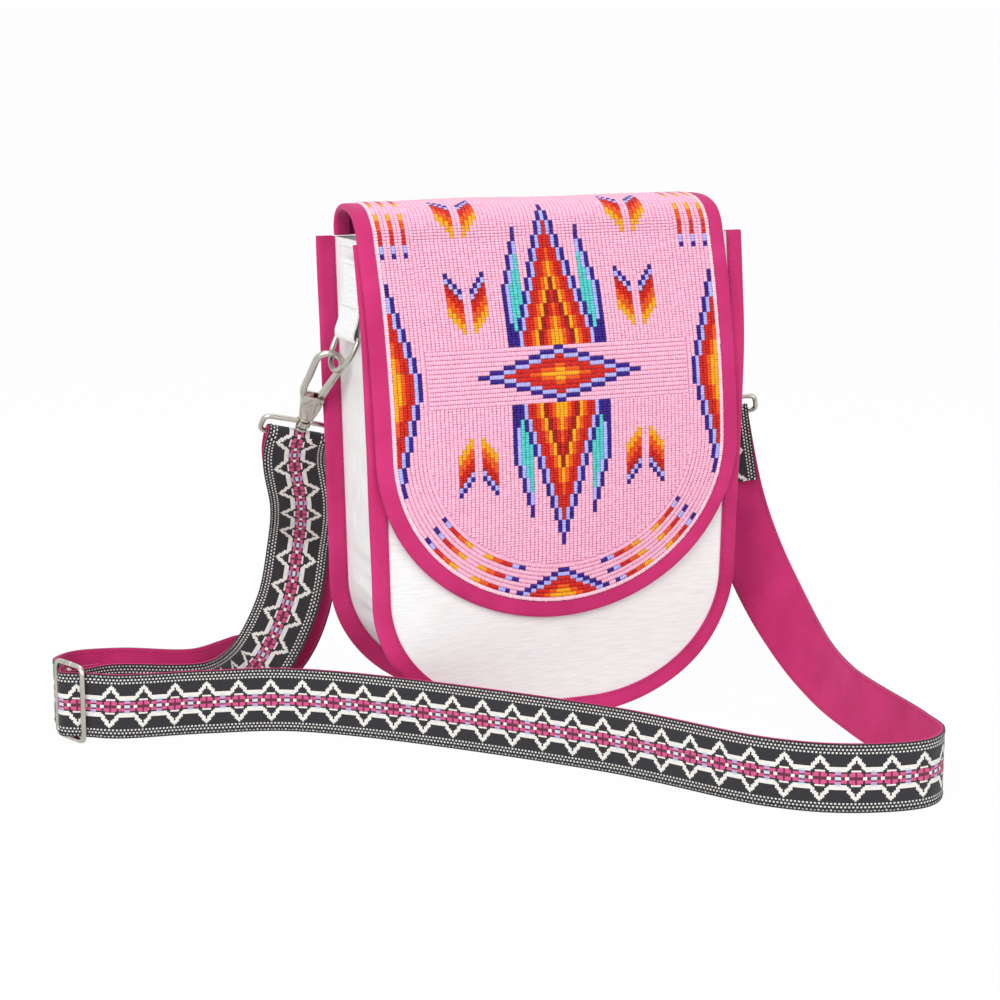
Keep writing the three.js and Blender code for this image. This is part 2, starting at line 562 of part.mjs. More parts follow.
// Each side: cloth tab, D ring, hook with sprung gate, and the loop that carries the strap.
const webX = halfWidthAt(RING_HIGH) - BINDING - GAP;
const tabIn = WIRE / 2 + GAP;
const barX = webX + GAP + TAB_CLOTH + 2 * tabIn + 1.2;
const sides = [
  ['left', -1, [-131.7, 43.3, 176], [-0.97, 0.1, 0.217]],
  ['right', 1, [143.5, 33.5, 173.5], [0.912, -0.409, 0]],
];
for (const [side, hand, swivel, bar] of sides) {
  // Tab: one strip doubled round the bar, its two tails sewn to the gusset.
  const inside = barX - tabIn - TAB_CLOTH;
  const outside = barX + tabIn + TAB_CLOTH;
  const top = RING_HIGH + TAB_HIGH;
  const spread = halfWidthAt(top) - halfWidthAt(RING_HIGH);
  const shape = new THREE.Shape();
  shape.moveTo(inside, RING_HIGH);
  shape.absarc(barX, RING_HIGH, tabIn + TAB_CLOTH, Math.PI, Math.PI * 2, false);
  shape.lineTo(outside - 1.0, RING_HIGH + 9);
  shape.lineTo(webX + spread + GAP + 2 * TAB_CLOTH + 0.4, top);
  shape.lineTo(webX + spread + GAP, top);
  shape.lineTo(webX + GAP + spread * 0.2, RING_HIGH + 9);
  const eye = new THREE.Path();
  eye.absarc(barX, RING_HIGH, tabIn, 0, Math.PI * 2, true);
  shape.holes.push(eye);
  const tab = new THREE.ExtrudeGeometry(shape, { depth: TAB_WIDE, bevelEnabled: false, curveSegments: 10 });
  tab.rotateX(Math.PI / 2);
  tab.translate(0, TAB_WIDE / 2, 0);
  if (hand < 0) tab.rotateZ(Math.PI);
  add(`${side}_tab`, tab, ...white);

  const tilt = THREE.MathUtils.degToRad(RING_TILT);
  const hang = [hand * Math.sin(tilt), 0, -Math.cos(tilt)];
  const onRing = (y, d) => [hand * barX + hang[0] * d, y, RING_HIGH + hang[2] * d];
  const ring = [];
  for (let i = -4; i <= 4; i++) ring.push(onRing(i / 4 * (RING_HALF - 1.6), 0));
  ring.push(onRing(RING_HALF - 0.3, 0.8));
  ring.push(onRing(RING_HALF, RING_LEG * 0.45));
  for (let i = 0; i <= 10; i++) {
    const t = i / 10 * Math.PI;
    ring.push(onRing(RING_HALF * Math.cos(t), RING_LEG + RING_HALF * Math.sin(t)));
  }
  ring.push(onRing(-RING_HALF, RING_LEG * 0.45));
  ring.push(onRing(-RING_HALF + 0.3, 0.8));
  add(`${side}_d_ring`, loopWire(ring, WIRE / 2, 50), ...nickel);

  // The hook holds the ring halfway up its rear corner.
  const held = onRing(RING_HALF * Math.SQRT1_2, RING_LEG + RING_HALF * Math.SQRT1_2);
  const up = new THREE.Vector3(...held).sub(new THREE.Vector3(...swivel));
  const reach = up.length();
  up.normalize();
  const along = new THREE.Vector3(hang[0], 0, hang[2]);
  const ringWay = new THREE.Vector3(0, 1, 0).multiplyScalar(Math.SQRT1_2);
  ringWay.addScaledVector(along, -Math.SQRT1_2);
  const face = ringWay.clone().addScaledVector(up, -ringWay.dot(up)).normalize();
  const across = up.clone().cross(face).normalize();
  const place = new THREE.Matrix4().makeBasis(across, up, face);
  place.setPosition(...swivel);

  const crown = reach + WIRE / 2 + 0.5 - (HOOK_HALF - HOOK_WIRE / 2);
  const outer = across.x * hand > 0 ? -1 : 1;
  const bend = [[-3 * outer, 12, 0], [-4.6 * outer, 17, 0], [-HOOK_HALF * outer, 24, 0]];
  bend.push([-HOOK_HALF * outer, (24 + crown) / 2, 0], [-HOOK_HALF * outer, crown, 0]);
  for (let i = 1; i <= 8; i++) {
    const t = i / 8 * Math.PI;
    bend.push([-HOOK_HALF * outer * Math.cos(t), crown + HOOK_HALF * Math.sin(t), 0]);
  }
  const noseAt = crown - 3;
  bend.push([HOOK_HALF * outer, noseAt, 0]);
  const shank = new THREE.Shape();
  shank.moveTo(-BODY_FOOT * outer, BODY_LOW);
  shank.lineTo(BODY_FOOT * outer, BODY_LOW);
  shank.lineTo(BODY_OUT * outer, BODY_WAIST);
  shank.lineTo(BODY_OUT * outer, BODY_TOP);
  shank.lineTo(-BODY_IN * outer, BODY_TOP);
  shank.lineTo(-BODY_IN * outer, BODY_WAIST);
  const block = new THREE.ExtrudeGeometry(shank, { depth: BODY_THICK, bevelEnabled: false });
  block.translate(0, 0, -BODY_THICK / 2);
  const gateX = GATE_SIDE * outer;
  const noseX = (HOOK_HALF - 0.4) * outer;
  const slot = new THREE.BoxGeometry(9.4, 12, GATE_THICK + 2 * GAP);
  slot.translate(gateX + 0.6 * outer, GATE_AT + 2.4, 0);
  const pinHole = rod([gateX, GATE_AT, -9], [gateX, GATE_AT, 9], PIN + GAP);
  const post = rod([0, 4.5, 0], [0, -WIRE / 2 - 2.2, 0], POST);
  const head = rod([0, -WIRE / 2 - 1.9, 0], [0, -WIRE / 2 - 3.6, 0], POST + 1.6);
  const collar = rod([0, 2.6, 0], [0, 4.5, 0], POST + 1.5);
  const hook = cut(join(wire(bend, HOOK_WIRE / 2, 34, true), block, post, head, collar), slot, pinHole);
  hook.applyMatrix4(place);
  add(`${side}_hook`, hook, ...nickel);

  const pin = rod([gateX, GATE_AT, -BODY_THICK / 2], [gateX, GATE_AT, BODY_THICK / 2], PIN);
  pin.applyMatrix4(place);
  add(`${side}_gate_pin`, pin, ...nickel);

  const lever = new THREE.Shape();
  lever.absarc(gateX, GATE_AT, GATE_WIDE * 0.72, Math.PI, Math.PI * 2, false);
  lever.lineTo(gateX + GATE_WIDE * 0.72, GATE_AT + 3);
  lever.lineTo(noseX + GATE_WIDE / 2, noseAt - 0.5);
  lever.lineTo(noseX - GATE_WIDE / 2, noseAt - 0.5);
  lever.lineTo(gateX - GATE_WIDE * 0.72, GATE_AT + 3);
  const gate = new THREE.ExtrudeGeometry(lever, { depth: GATE_THICK, bevelEnabled: false, curveSegments: 10 });
  gate.translate(0, 0, -GATE_THICK / 2);
  const swung = cut(gate, rod([gateX, GATE_AT, -9], [gateX, GATE_AT, 9], PIN + GAP));
  swung.applyMatrix4(place);
  add(`${side}_gate`, swung, ...nickel);

  // Strap loop: wire bent to a rectangle, with a drilled boss on the hook's post.
  const down = up.clone().negate();
  const b = new THREE.Vector3(...bar);
  b.addScaledVector(up, -b.dot(up)).normalize();
  const middle = swivel.map((m, k) => m + down.toArray()[k] * LOOP_LONG / 2);
  const rect = roundedLoop(middle, b.toArray(), down.toArray(), LOOP_HALF, LOOP_LONG / 2, 3.4);
  const bossLow = new THREE.Vector3(...swivel).addScaledVector(down, WIRE / 2);
  const bossHigh = new THREE.Vector3(...swivel).addScaledVector(up, WIRE / 2 + 0.6);
  const boss = rod(bossLow.toArray(), bossHigh.toArray(), POST + 2.4);
  const hole = rod(
    bossLow.clone().addScaledVector(down, 4).toArray(),
    bossHigh.clone().addScaledVector(up, 4).toArray(),
    POST + GAP,
  );
  add(`${side}_strap_loop`, cut(join(loopWire(rect, WIRE / 2, 56), boss), hole), ...nickel);
}

// Strap, from its sewn end at the right loop round to its other end on the slider's middle bar.
const stops = ROUTE.map((p) => new THREE.Vector3(p[0], p[1], p[2]));
const way = new THREE.CatmullRomCurve3(stops, false, 'centripetal');
const stations = [];
for (let i = 0; i + 1 < ROUTE.length; i++) {
  const parts = Math.max(1, Math.min(5, Math.round(stops[i].distanceTo(stops[i + 1]) / ROW)));
  for (let k = 0; k < parts; k++) stations.push((i + k / parts) / (ROUTE.length - 1));
}
stations.push(1);
const strapRows = stations.map((t) => {
  const at = way.getPoint(t);
  const tangent = way.getTangent(t);
  const f = t * (ROUTE.length - 1);
  const i = Math.min(Math.floor(f), ROUTE.length - 2);
  const w = new THREE.Vector3(...ROUTE[i].slice(3)).lerp(new THREE.Vector3(...ROUTE[i + 1].slice(3)), f - i);
  w.addScaledVector(tangent, -w.dot(tangent)).normalize();
  return { at, w, n: w.clone().cross(tangent).normalize() };
});
// A layer from its face at the seam to its outer face.
function strapLayer(seam, face) {
  return loft(strapRows.map(({ at, w, n }) => [[-1, seam], [1, seam], [1, face], [-1, face]].map(([e, h]) => (
    at.clone().addScaledVector(w, e * STRAP / 2).addScaledVector(n, h).toArray()
  ))), true);
}
const strapSeam = (BACKING - RIBBON) / 2;
add('strap_ribbon', strapLayer(strapSeam + GAP / 2, strapSeam + RIBBON), 0x2a2a33, 0.8, 0);
add('strap_backing', strapLayer(strapSeam - GAP / 2, strapSeam - BACKING), ...magenta);

// Slider: a wire rectangle and the bar across its middle.
const SLIDE_HALF = STRAP / 2 + SLIDE_SIDE + WIRE / 2;
const slideFrom = [-277, 20, SLIDE_HALF + WIRE / 2 + GAP];
const slideWay = [-0.305, 0.952, 0];
const slideMid = slideFrom.map((x, k) => x + slideWay[k] * SLIDE_LONG / 2);
const frame = loopWire(
  roundedLoop(slideMid, slideWay, [0, 0, 1], SLIDE_LONG / 2, SLIDE_HALF, 3), WIRE / 2, 56);
add('slider_frame', frame, ...nickel);
const barHalf = SLIDE_HALF - WIRE / 2 - GAP;
add('slider_bar', rod(
  [slideMid[0], slideMid[1], slideMid[2] - barHalf],
  [slideMid[0], slideMid[1], slideMid[2] + barHalf],
  1.4,
), ...nickel);

export default bag;
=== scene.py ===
import math

import bpy
import numpy as np
from mathutils import Matrix, Vector


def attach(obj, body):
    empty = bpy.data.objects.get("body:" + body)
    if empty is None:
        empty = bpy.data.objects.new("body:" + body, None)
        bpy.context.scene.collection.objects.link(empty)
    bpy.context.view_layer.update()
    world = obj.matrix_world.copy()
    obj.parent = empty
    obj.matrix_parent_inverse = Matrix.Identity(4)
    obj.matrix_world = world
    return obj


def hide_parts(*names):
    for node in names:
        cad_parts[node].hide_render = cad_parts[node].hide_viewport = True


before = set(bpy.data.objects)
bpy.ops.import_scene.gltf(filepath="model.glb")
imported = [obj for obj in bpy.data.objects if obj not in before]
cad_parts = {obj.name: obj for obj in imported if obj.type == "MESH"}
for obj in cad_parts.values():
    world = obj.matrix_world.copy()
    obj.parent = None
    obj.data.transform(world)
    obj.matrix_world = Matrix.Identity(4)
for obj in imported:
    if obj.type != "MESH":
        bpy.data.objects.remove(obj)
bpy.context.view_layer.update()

# Camera at the photograph's angle: left of the bag's front and a little above it, with a long lens.
camera_place = Vector((-0.6303, -1.3496, 0.4262))
camera_right = Vector((0.9124, -0.4093, 0.0019))
camera_up = Vector((0.0790, 0.1808, 0.9803))
bpy.ops.object.select_all(action="DESELECT")
bpy.ops.object.camera_add(location=camera_place)
camera = bpy.context.object
camera_axes = Matrix((camera_right, camera_up, camera_right.cross(camera_up))).transposed()
camera.rotation_euler = camera_axes.to_euler()
camera.data.sensor_width = 36
camera.data.lens = 90.5
bpy.context.scene.camera = camera
bpy.context.scene.view_settings.view_transform = "Standard"

# Floor: a wide sheet of white paper that the bag and its strap stand on.
# Seen directly it is almost white, and it keeps the soft shadow under the bag.
bpy.ops.mesh.primitive_plane_add(size=160)
floor = bpy.context.object
floor.name = "floor"


def new_finish(name, levels):
    """A material with its node tree and its shader, set to the given levels."""
    made = bpy.data.materials.new(name)
    made.use_nodes = True
    shader = made.node_tree.nodes["Principled BSDF"]
    for level in levels:
        shader.inputs[level].default_value = levels[level]
    return made, made.node_tree, shader


def joined(tree, operation, first, second):
    """Two values put together by one operation."""
    both = tree.nodes.new("ShaderNodeMath")
    both.operation = operation
    tree.links.new(first, both.inputs[0])
    tree.links.new(second, both.inputs[1])
    return both.outputs[0]


def ranged(tree, value, low, high):
    """A value between 0 and 1, stretched to run from low to high."""
    stretch = tree.nodes.new("ShaderNodeMapRange")
    stretch.inputs["To Min"].default_value = low
    stretch.inputs["To Max"].default_value = high
    tree.links.new(value, stretch.inputs["Value"])
    return stretch.outputs["Result"]


def seen_directly(tree, low, high):
    """High where the camera sees a thing, straight or mirrored, and low for all other light."""
    ray = tree.nodes.new("ShaderNodeLightPath")
    seen = joined(tree, "MAXIMUM", ray.outputs["Is Camera Ray"], ray.outputs["Is Glossy Ray"])
    return ranged(tree, seen, low, high)


paper, tree, shader = new_finish("white_paper", {
    "Base Color": (0.88, 0.88, 0.88, 1), "Roughness": 0.9, "Specular IOR Level": 0.1})
glow = tree.nodes.new("ShaderNodeEmission")
glow.inputs["Color"].default_value = (1, 1, 1, 1)
glow.inputs["Strength"].default_value = 1
whitened = tree.nodes.new("ShaderNodeMixShader")
tree.links.new(seen_directly(tree, 0, 0.96), whitened.inputs["Fac"])
tree.links.new(shader.outputs["BSDF"], whitened.inputs[1])
tree.links.new(glow.outputs["Emission"], whitened.inputs[2])
tree.links.new(whitened.outputs["Shader"], tree.nodes["Material Output"].inputs["Surface"])
floor.data.materials.append(paper)

# Light: a large soft lamp above the left front, weaker ones at the right and overhead, and a white room.
lamp_target = Vector((0, 0, 0.12))
for lamp_name, lamp_place, lamp_size, lamp_watts in (
        ("key_lamp", (-1.5, -1.2, 1.35), 1.4, 29),
        ("fill_lamp", (0.9, -1.6, 0.9), 1.6, 11),
        ("top_lamp", (0.1, 0.5, 2.0), 1.6, 10)):
    bpy.ops.object.light_add(type="AREA", location=lamp_place)
    lamp = bpy.context.object
    lamp.name = lamp_name
    lamp.data.size = lamp_size
    lamp.data.energy = lamp_watts
    lamp.rotation_euler = (lamp_target - Vector(lamp_place)).to_track_quat("-Z", "Y").to_euler()
room = bpy.data.worlds.new("white_room")
room.use_nodes = True
bpy.context.scene.world = room
tree = room.node_tree
tree.nodes["Background"].inputs["Color"].default_value = (1, 1, 1, 1)
tree.links.new(seen_directly(tree, 0.55, 1), tree.nodes["Background"].inputs["Strength"])

# Strap: a woven ribbon 38 mm wide, sewn face out on a suede backing.
# It runs from the right loop round the floor to the slider, up to the left loop and back to the slider.
# These are the solid's own points, in metres: middle of the strap, and the direction of its upper edge.
bag_middle = 0.003425
strap_wide = 0.038
strap_route = np.array([
    (0.1492, 0.0275, 0.1200, 0.91, -0.40, 0.06),
    (0.1460, 0.0351, 0.1614, 0.873, -0.474, 0.122),
    (0.1461, 0.0363, 0.1654, 0.873, -0.474, 0.122),
    (0.1472, 0.0386, 0.1668, 0.873, -0.474, 0.122),
    (0.1486, 0.0409, 0.1654, 0.873, -0.474, 0.122),
    (0.1496, 0.0416, 0.1614, 0.873, -0.474, 0.122),
    (0.1530, 0.0260, 0.1120, 0.90, -0.38, 0.16),
    (0.1555, 0.0040, 0.0780, 0.84, -0.25, 0.46),
    (0.1530, -0.0380, 0.0480, 0.60, -0.12, 0.79),
    (0.1465, -0.0900, 0.0285, 0.27, -0.04, 0.96),
    (0.1400, -0.1400, 0.0212, 0.06, 0, 1),
    (0.1305, -0.2320, 0.0194, 0, 0, 1),
    (0.1230, -0.2600, 0.0194, 0, 0, 1),
    (0.1040, -0.2735, 0.0194, 0, 0, 1),
    (0.0620, -0.2650, 0.0194, 0, 0, 1),
    (0.0290, -0.2390, 0.0194, 0, 0, 1),
    (-0.0260, -0.1460, 0.0194, 0, 0, 1),
    (-0.1530, -0.0060, 0.0194, 0, 0, 1),
    (-0.2050, 0.0130, 0.0194, 0, 0, 1),
    (-0.2580, 0.0156, 0.0220, 0, 0, 1),
    (-0.2732, 0.0213, 0.0232, 0, 0, 1),
    (-0.2870, 0.0309, 0.0232, 0, 0, 1),
    (-0.2816, 0.0471, 0.0232, 0, 0, 1),
    (-0.2810, 0.0670, 0.0214, 0, 0, 1),
    (-0.2630, 0.0875, 0.0194, 0, 0, 1),
    (-0.2360, 0.0830, 0.0194, 0, 0, 1),
    (-0.1988, 0.0590, 0.0206, 0, 0, 1),
    (-0.1642, 0.0735, 0.0215, -0.42, 0.28, 0.86),
    (-0.1384, 0.0827, 0.0255, -0.768, 0.446, 0.46),
    (-0.1179, 0.0934, 0.0534, -0.794, 0.447, 0.414),
    (-0.1115, 0.1016, 0.0889, -0.861, 0.442, 0.252),
    (-0.1212, 0.0777, 0.1226, -0.92, 0.39, 0.02),
    (-0.1312, 0.0642, 0.1553, -0.970, 0.100, 0.217),
    (-0.1324, 0.0546, 0.1676, -0.970, 0.100, 0.217),
    (-0.1324, 0.0509, 0.1697, -0.970, 0.100, 0.217),
    (-0.1328, 0.0481, 0.1689, -0.970, 0.100, 0.217),
    (-0.1335, 0.0473, 0.1662, -0.970, 0.100, 0.217),
    (-0.1341, 0.0493, 0.1626, -0.970, 0.100, 0.217),
    (-0.1329, 0.0575, 0.1505, -0.970, 0.100, 0.217),
    (-0.1236, 0.0723, 0.1188, -0.92, 0.39, 0.02),
    (-0.1194, 0.0920, 0.0881, -0.861, 0.442, 0.252),
    (-0.1297, 0.0821, 0.0575, -0.794, 0.447, 0.414),
    (-0.1498, 0.0690, 0.0300, -0.768, 0.446, 0.46),
    (-0.1669, 0.0558, 0.0210, -0.45, 0.30, 0.84),
    (-0.2020, 0.0300, 0.0196, 0, 0, 1),
    (-0.2540, 0.0400, 0.0218, 0, 0, 1),
    (-0.2800, 0.0296, 0.0232, 0, 0, 1),
    (-0.2843, 0.0318, 0.0232, 0, 0, 1),
    (-0.2821, 0.0361, 0.0232, 0, 0, 1),
    (-0.2620, 0.0420, 0.0226, 0, 0, 1),
])
strap_route[:, 1] += bag_middle


def smooth_line(points, steps):
    """Points on a smooth curve through the given ones, steps to each span."""
    points = np.asarray(points, float)
    before = np.vstack([2 * points[0] - points[1], points, 2 * points[-1] - points[-2]])
    line = []
    for p0, p1, p2, p3 in zip(before, before[1:], before[2:], before[3:]):
        a, b, c = (np.linalg.norm(q - p) ** 0.5 for p, q in ((p0, p1), (p1, p2), (p2, p3)))
        out = ((p1 - p0) / a - (p2 - p0) / (a + b) + (p2 - p1) / b) * b
        into = ((p2 - p1) / b - (p3 - p1) / (b + c) + (p3 - p2) / c) * b
        for k in range(steps):
            t = k / steps
            bend = (-3 * p1 + 3 * p2 - 2 * out - into) * t * t
            line.append(p1 + out * t + bend + (2 * p1 - 2 * p2 + out + into) * t ** 3)
    line.append(points[-1])
    return np.array(line)


def run_of(line):
    """Distance along a line at each of its points."""
    return np.concatenate([[0], np.cumsum(np.linalg.norm(np.diff(line, axis=0), axis=1))])


def at_run(line, run, at):
    """Points of a line at given distances; run is the distance of each of its own points."""
    return np.stack([np.interp(at, run, line[:, k]) for k in range(line.shape[1])], axis=1)


def unit(rows):
    """Each row made one long."""
    return rows / np.linalg.norm(rows, axis=1)[:, None]


def laid_sheet(name, across, along, place):
    """A flat grid whose points go where place(u, v) says, with u across and v along from 0 to 1."""
    bpy.ops.object.select_all(action="DESELECT")
    bpy.ops.mesh.primitive_grid_add(x_subdivisions=across, y_subdivisions=along, size=2)
    sheet = bpy.context.object
    sheet.name = name
    flat = np.empty(len(sheet.data.vertices) * 3)
    sheet.data.vertices.foreach_get("co", flat)
    flat = flat.reshape(-1, 3)
    laid = place((flat[:, 0] + 1) / 2, (flat[:, 1] + 1) / 2)
    sheet.data.vertices.foreach_set("co", np.asarray(laid, float).ravel())
    sheet.data.update()
    return sheet


def size_map(sheet, wide, long):
    """Sets the sheet's own map to metres across and along."""
    layer = sheet.data.uv_layers.active.data
    flat = np.empty(len(layer) * 2)
    layer.foreach_get("uv", flat)
    flat = flat.reshape(-1, 2) * (wide, long)
    layer.foreach_set("uv", flat.ravel())


def choose(piece):
    """Selects one piece alone."""
    bpy.ops.object.select_all(action="DESELECT")
    bpy.context.view_layer.objects.active = piece
    piece.select_set(True)


def apply_all(piece):
    """Applies every modifier of a piece in order."""
    choose(piece)
    for modifier in list(piece.modifiers):
        bpy.ops.object.modifier_apply(modifier=modifier.name)


cloth_smooth = math.radians(50)


def thicken(piece, thick, offset):
    """Gives a sheet its thickness, with the new side at the given offset."""
    wall = piece.modifiers.new("thickness", "SOLIDIFY")
    wall.thickness = thick
    wall.offset = offset
    apply_all(piece)
    bpy.ops.object.shade_smooth_by_angle(angle=cloth_smooth)


strap_steps = 24
strap_fine = smooth_line(strap_route[:, :3], strap_steps)
strap_run = run_of(strap_fine)
strap_long = strap_run[-1]
strap_edge = at_run(strap_route[:, 3:], np.arange(len(strap_route)), np.arange(len(strap_fine)) / strap_steps)


def on_strap(u, v, height):
    """Point on the strap: u across, v along, and height out from its middle on the ribbon's side."""
    run = v * strap_long
    step = 4e-4
    middle = at_run(strap_fine, strap_run, run)
    way = unit(at_run(strap_fine, strap_run, run + step) - at_run(strap_fine, strap_run, run - step))
    edge = at_run(strap_edge, strap_run, run)
    edge = unit(edge - np.sum(edge * way, axis=1)[:, None] * way)
    aside = np.reshape((u - 0.5) * strap_wide, (-1, 1))
    return middle + edge * aside + np.cross(edge, way) * height


# From flower to flower the ribbon runs 18 picks, as far as 21 threads lie across it.
ribbon_threads = 42
flower_every = 18
pick_share = 21 / flower_every
ribbon_high = 0.0010
ribbon_picks = int(strap_long / strap_wide * ribbon_threads / pick_share)
ribbon = laid_sheet("strap_ribbon_weave", ribbon_threads, ribbon_picks,
                    lambda u, v: on_strap(u, v, ribbon_high))
size_map(ribbon, strap_wide, strap_long)

# The weave is counted in threads from the middle and from each flower.
dots_from, dots_to = 14, 20
petal_long = 4.3
link_from = 8.6
ribbon_black = (0.013, 0.012, 0.017)
ribbon_cream = (0.87, 0.85, 0.80)
ribbon_pink = (0.68, 0.085, 0.25)
ribbon_maroon = (0.13, 0.012, 0.045)
ribbon_lilac = (0.52, 0.34, 0.58)
ribbon_pale = (0.62, 0.72, 0.78)


def woven_colour(thread, pick):
    """Colour of one crossing of the ribbon's weave."""
    from_middle = abs(thread + 0.5 - ribbon_threads / 2)
    from_flower = abs((pick + flower_every // 2) % flower_every - flower_every // 2) * pick_share
    if dots_from <= from_middle < dots_to:
        dotted = int(from_middle) % 2 and (pick + int(from_middle / 2)) % 2
        return ribbon_cream if dotted else ribbon_black
    # Two scalloped lines meet in a point beside each flower and run close to the middle between them.
    scallop = max(5.6, 12.6 - 1.2 * from_flower)
    if abs(from_middle - scallop) < (1.9 if from_flower < 5.5 else 1.1) and from_middle < dots_from:
        return ribbon_cream if from_middle > 5 or from_flower < link_from else ribbon_pale
    # Flower of four petals round a dark cross.
    if max(from_flower, from_middle) < petal_long and from_flower + from_middle < 6.4:
        return ribbon_maroon if min(from_flower, from_middle) < 0.7 else ribbon_pink
    if from_flower < 2.6 and 4 < from_middle < 5.2:
        return ribbon_cream
    # Chain of small squares between the flowers.
    if from_flower >= petal_long and from_middle < 4.2:
        if from_flower > link_from:
            if from_middle < 1.1:
                return ribbon_pale
            return ribbon_maroon if from_middle < 2.1 else ribbon_lilac
        if from_middle < 1.1:
            return ribbon_cream if from_flower < 6.4 else ribbon_maroon
        return ribbon_pink if from_middle < 3.1 and from_flower > 5.4 else ribbon_black
    return ribbon_black


ribbon_faces = len(ribbon.data.polygons)
ribbon_map = np.empty(len(ribbon.data.loops) * 2)
ribbon.data.uv_layers.active.data.foreach_get("uv", ribbon_map)
ribbon_map = ribbon_map.reshape(ribbon_faces, 4, 2).mean(axis=1)
ribbon_cells = (ribbon_map / (strap_wide, strap_long) * (ribbon_threads, ribbon_picks)).astype(int)
ribbon_chart = {(t, p): woven_colour(t, p) for t in range(ribbon_threads) for p in range(2 * flower_every)}
ribbon_tints = np.ones((ribbon_faces, 4, 4))
for face, (thread, pick) in enumerate(ribbon_cells):
    ribbon_tints[face, :, :3] = ribbon_chart[thread, pick % (2 * flower_every)]
ribbon_colours = ribbon.data.color_attributes.new("weave", "FLOAT_COLOR", "CORNER")
ribbon_colours.data.foreach_set("color", ribbon_tints.ravel())

# The ribbon's rim turns down to the backing.
ribbon_turn = 0.0007
choose(ribbon)
bpy.ops.object.mode_set(mode="EDIT")
bpy.ops.mesh.select_mode(type="EDGE")
bpy.ops.mesh.select_all(action="DESELECT")
bpy.ops.mesh.select_non_manifold()
bpy.ops.mesh.extrude_edges_move()
bpy.ops.transform.shrink_fatten(value=-ribbon_turn)
bpy.ops.object.mode_set(mode="OBJECT")
bpy.ops.object.shade_smooth_by_angle(angle=cloth_smooth)


def place_on(tree):
    """Object coordinates."""
    return tree.nodes.new("ShaderNodeTexCoord").outputs["Object"]


def speckle(tree, vector, scale, detail=2):
    """Cloudy noise."""
    cloud = tree.nodes.new("ShaderNodeTexNoise")
    cloud.inputs["Scale"].default_value = scale
    cloud.inputs["Detail"].default_value = detail
    tree.links.new(vector, cloud.inputs["Vector"])
    return cloud.outputs["Fac"]


def two_tone(tree, vector, scale, dark, light, low=0.3, high=0.7):
    """Colour that drifts between two tones."""
    ramp = tree.nodes.new("ShaderNodeValToRGB")
    for stop, position, tone in zip(ramp.color_ramp.elements, (low, high), (dark, light)):
        stop.position = position
        stop.color = (*tone, 1)
    tree.links.new(speckle(tree, vector, scale, 4), ramp.inputs["Fac"])
    return ramp.outputs["Color"]


def own_map(tree, scale):
    """The piece's own map, scaled."""
    stretch = tree.nodes.new("ShaderNodeMapping")
    stretch.inputs["Scale"].default_value = scale
    tree.links.new(tree.nodes.new("ShaderNodeTexCoord").outputs["UV"], stretch.inputs["Vector"])
    return stretch.outputs["Vector"]


def thread_ridges(tree, direction, scale, distortion=0):
    """Round threads side by side, counted on the piece's own map."""
    wave = tree.nodes.new("ShaderNodeTexWave")
    wave.bands_direction = direction
    wave.inputs["Scale"].default_value = 1
    wave.inputs["Distortion"].default_value = distortion
    tree.links.new(own_map(tree, scale), wave.inputs["Vector"])
    return wave.outputs["Fac"]


def raise_bump(tree, shader, height, strength, distance):
    """Relief from a height."""
    bump = tree.nodes.new("ShaderNodeBump")
    bump.inputs["Strength"].default_value = strength
    bump.inputs["Distance"].default_value = distance
    tree.links.new(height, bump.inputs["Height"])
    tree.links.new(bump.outputs["Normal"], shader.inputs["Normal"])


woven, tree, shader = new_finish("woven_ribbon", {"Roughness": 0.75, "Sheen Weight": 0.08})
tint = tree.nodes.new("ShaderNodeVertexColor")
tint.layer_name = "weave"
fleck = two_tone(tree, place_on(tree), 1500, (0.78, 0.78, 0.78), (1.08, 1.08, 1.08))
flecked = tree.nodes.new("ShaderNodeMix")
flecked.data_type = "RGBA"
flecked.blend_type = "MULTIPLY"
flecked.inputs["Factor"].default_value = 1
tree.links.new(tint.outputs["Color"], flecked.inputs["A"])
tree.links.new(fleck, flecked.inputs["B"])
tree.links.new(flecked.outputs["Result"], shader.inputs["Base Color"])
ridge_scale = 350
picks_up = thread_ridges(tree, "Y", (0, ridge_scale, 0))
threads_up = thread_ridges(tree, "X", (ridge_scale, 0, 0))
raise_bump(tree, shader, joined(tree, "MULTIPLY", picks_up, threads_up), 0.5, 0.0004)
ribbon.data.materials.append(woven)
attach(ribbon, "bag")
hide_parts("strap_ribbon")

# Strap backing: a strip of magenta suede as wide as the ribbon, with its nap towards the wearer.
# The ribbon is sewn down on it along both edges.
backing_high = 0.0002
backing_thick = 0.0012
backing = laid_sheet("strap_backing_suede", 6, 640, lambda u, v: on_strap(u, v, backing_high))
size_map(backing, strap_wide, strap_long)
thicken(backing, backing_thick, -1)


def suede_finish(name, dark, light):
    """Brushed suede: a short nap, cloudy where it was stroked."""
    made, tree, shader = new_finish(name, {
        "Roughness": 0.92, "Specular IOR Level": 0.18,
        "Sheen Weight": 0.25, "Sheen Roughness": 0.4, "Sheen Tint": (1.0, 0.55, 0.78, 1)})
    place = place_on(tree)
    tree.links.new(two_tone(tree, place, 38, dark, light), shader.inputs["Base Color"])
    raise_bump(tree, shader, speckle(tree, place, 1700, 6), 0.35, 0.0006)
    return made


suede = suede_finish("magenta_suede", (0.48, 0.024, 0.132), (0.59, 0.036, 0.178))
backing.data.materials.append(suede)
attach(backing, "bag")
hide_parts("strap_backing")

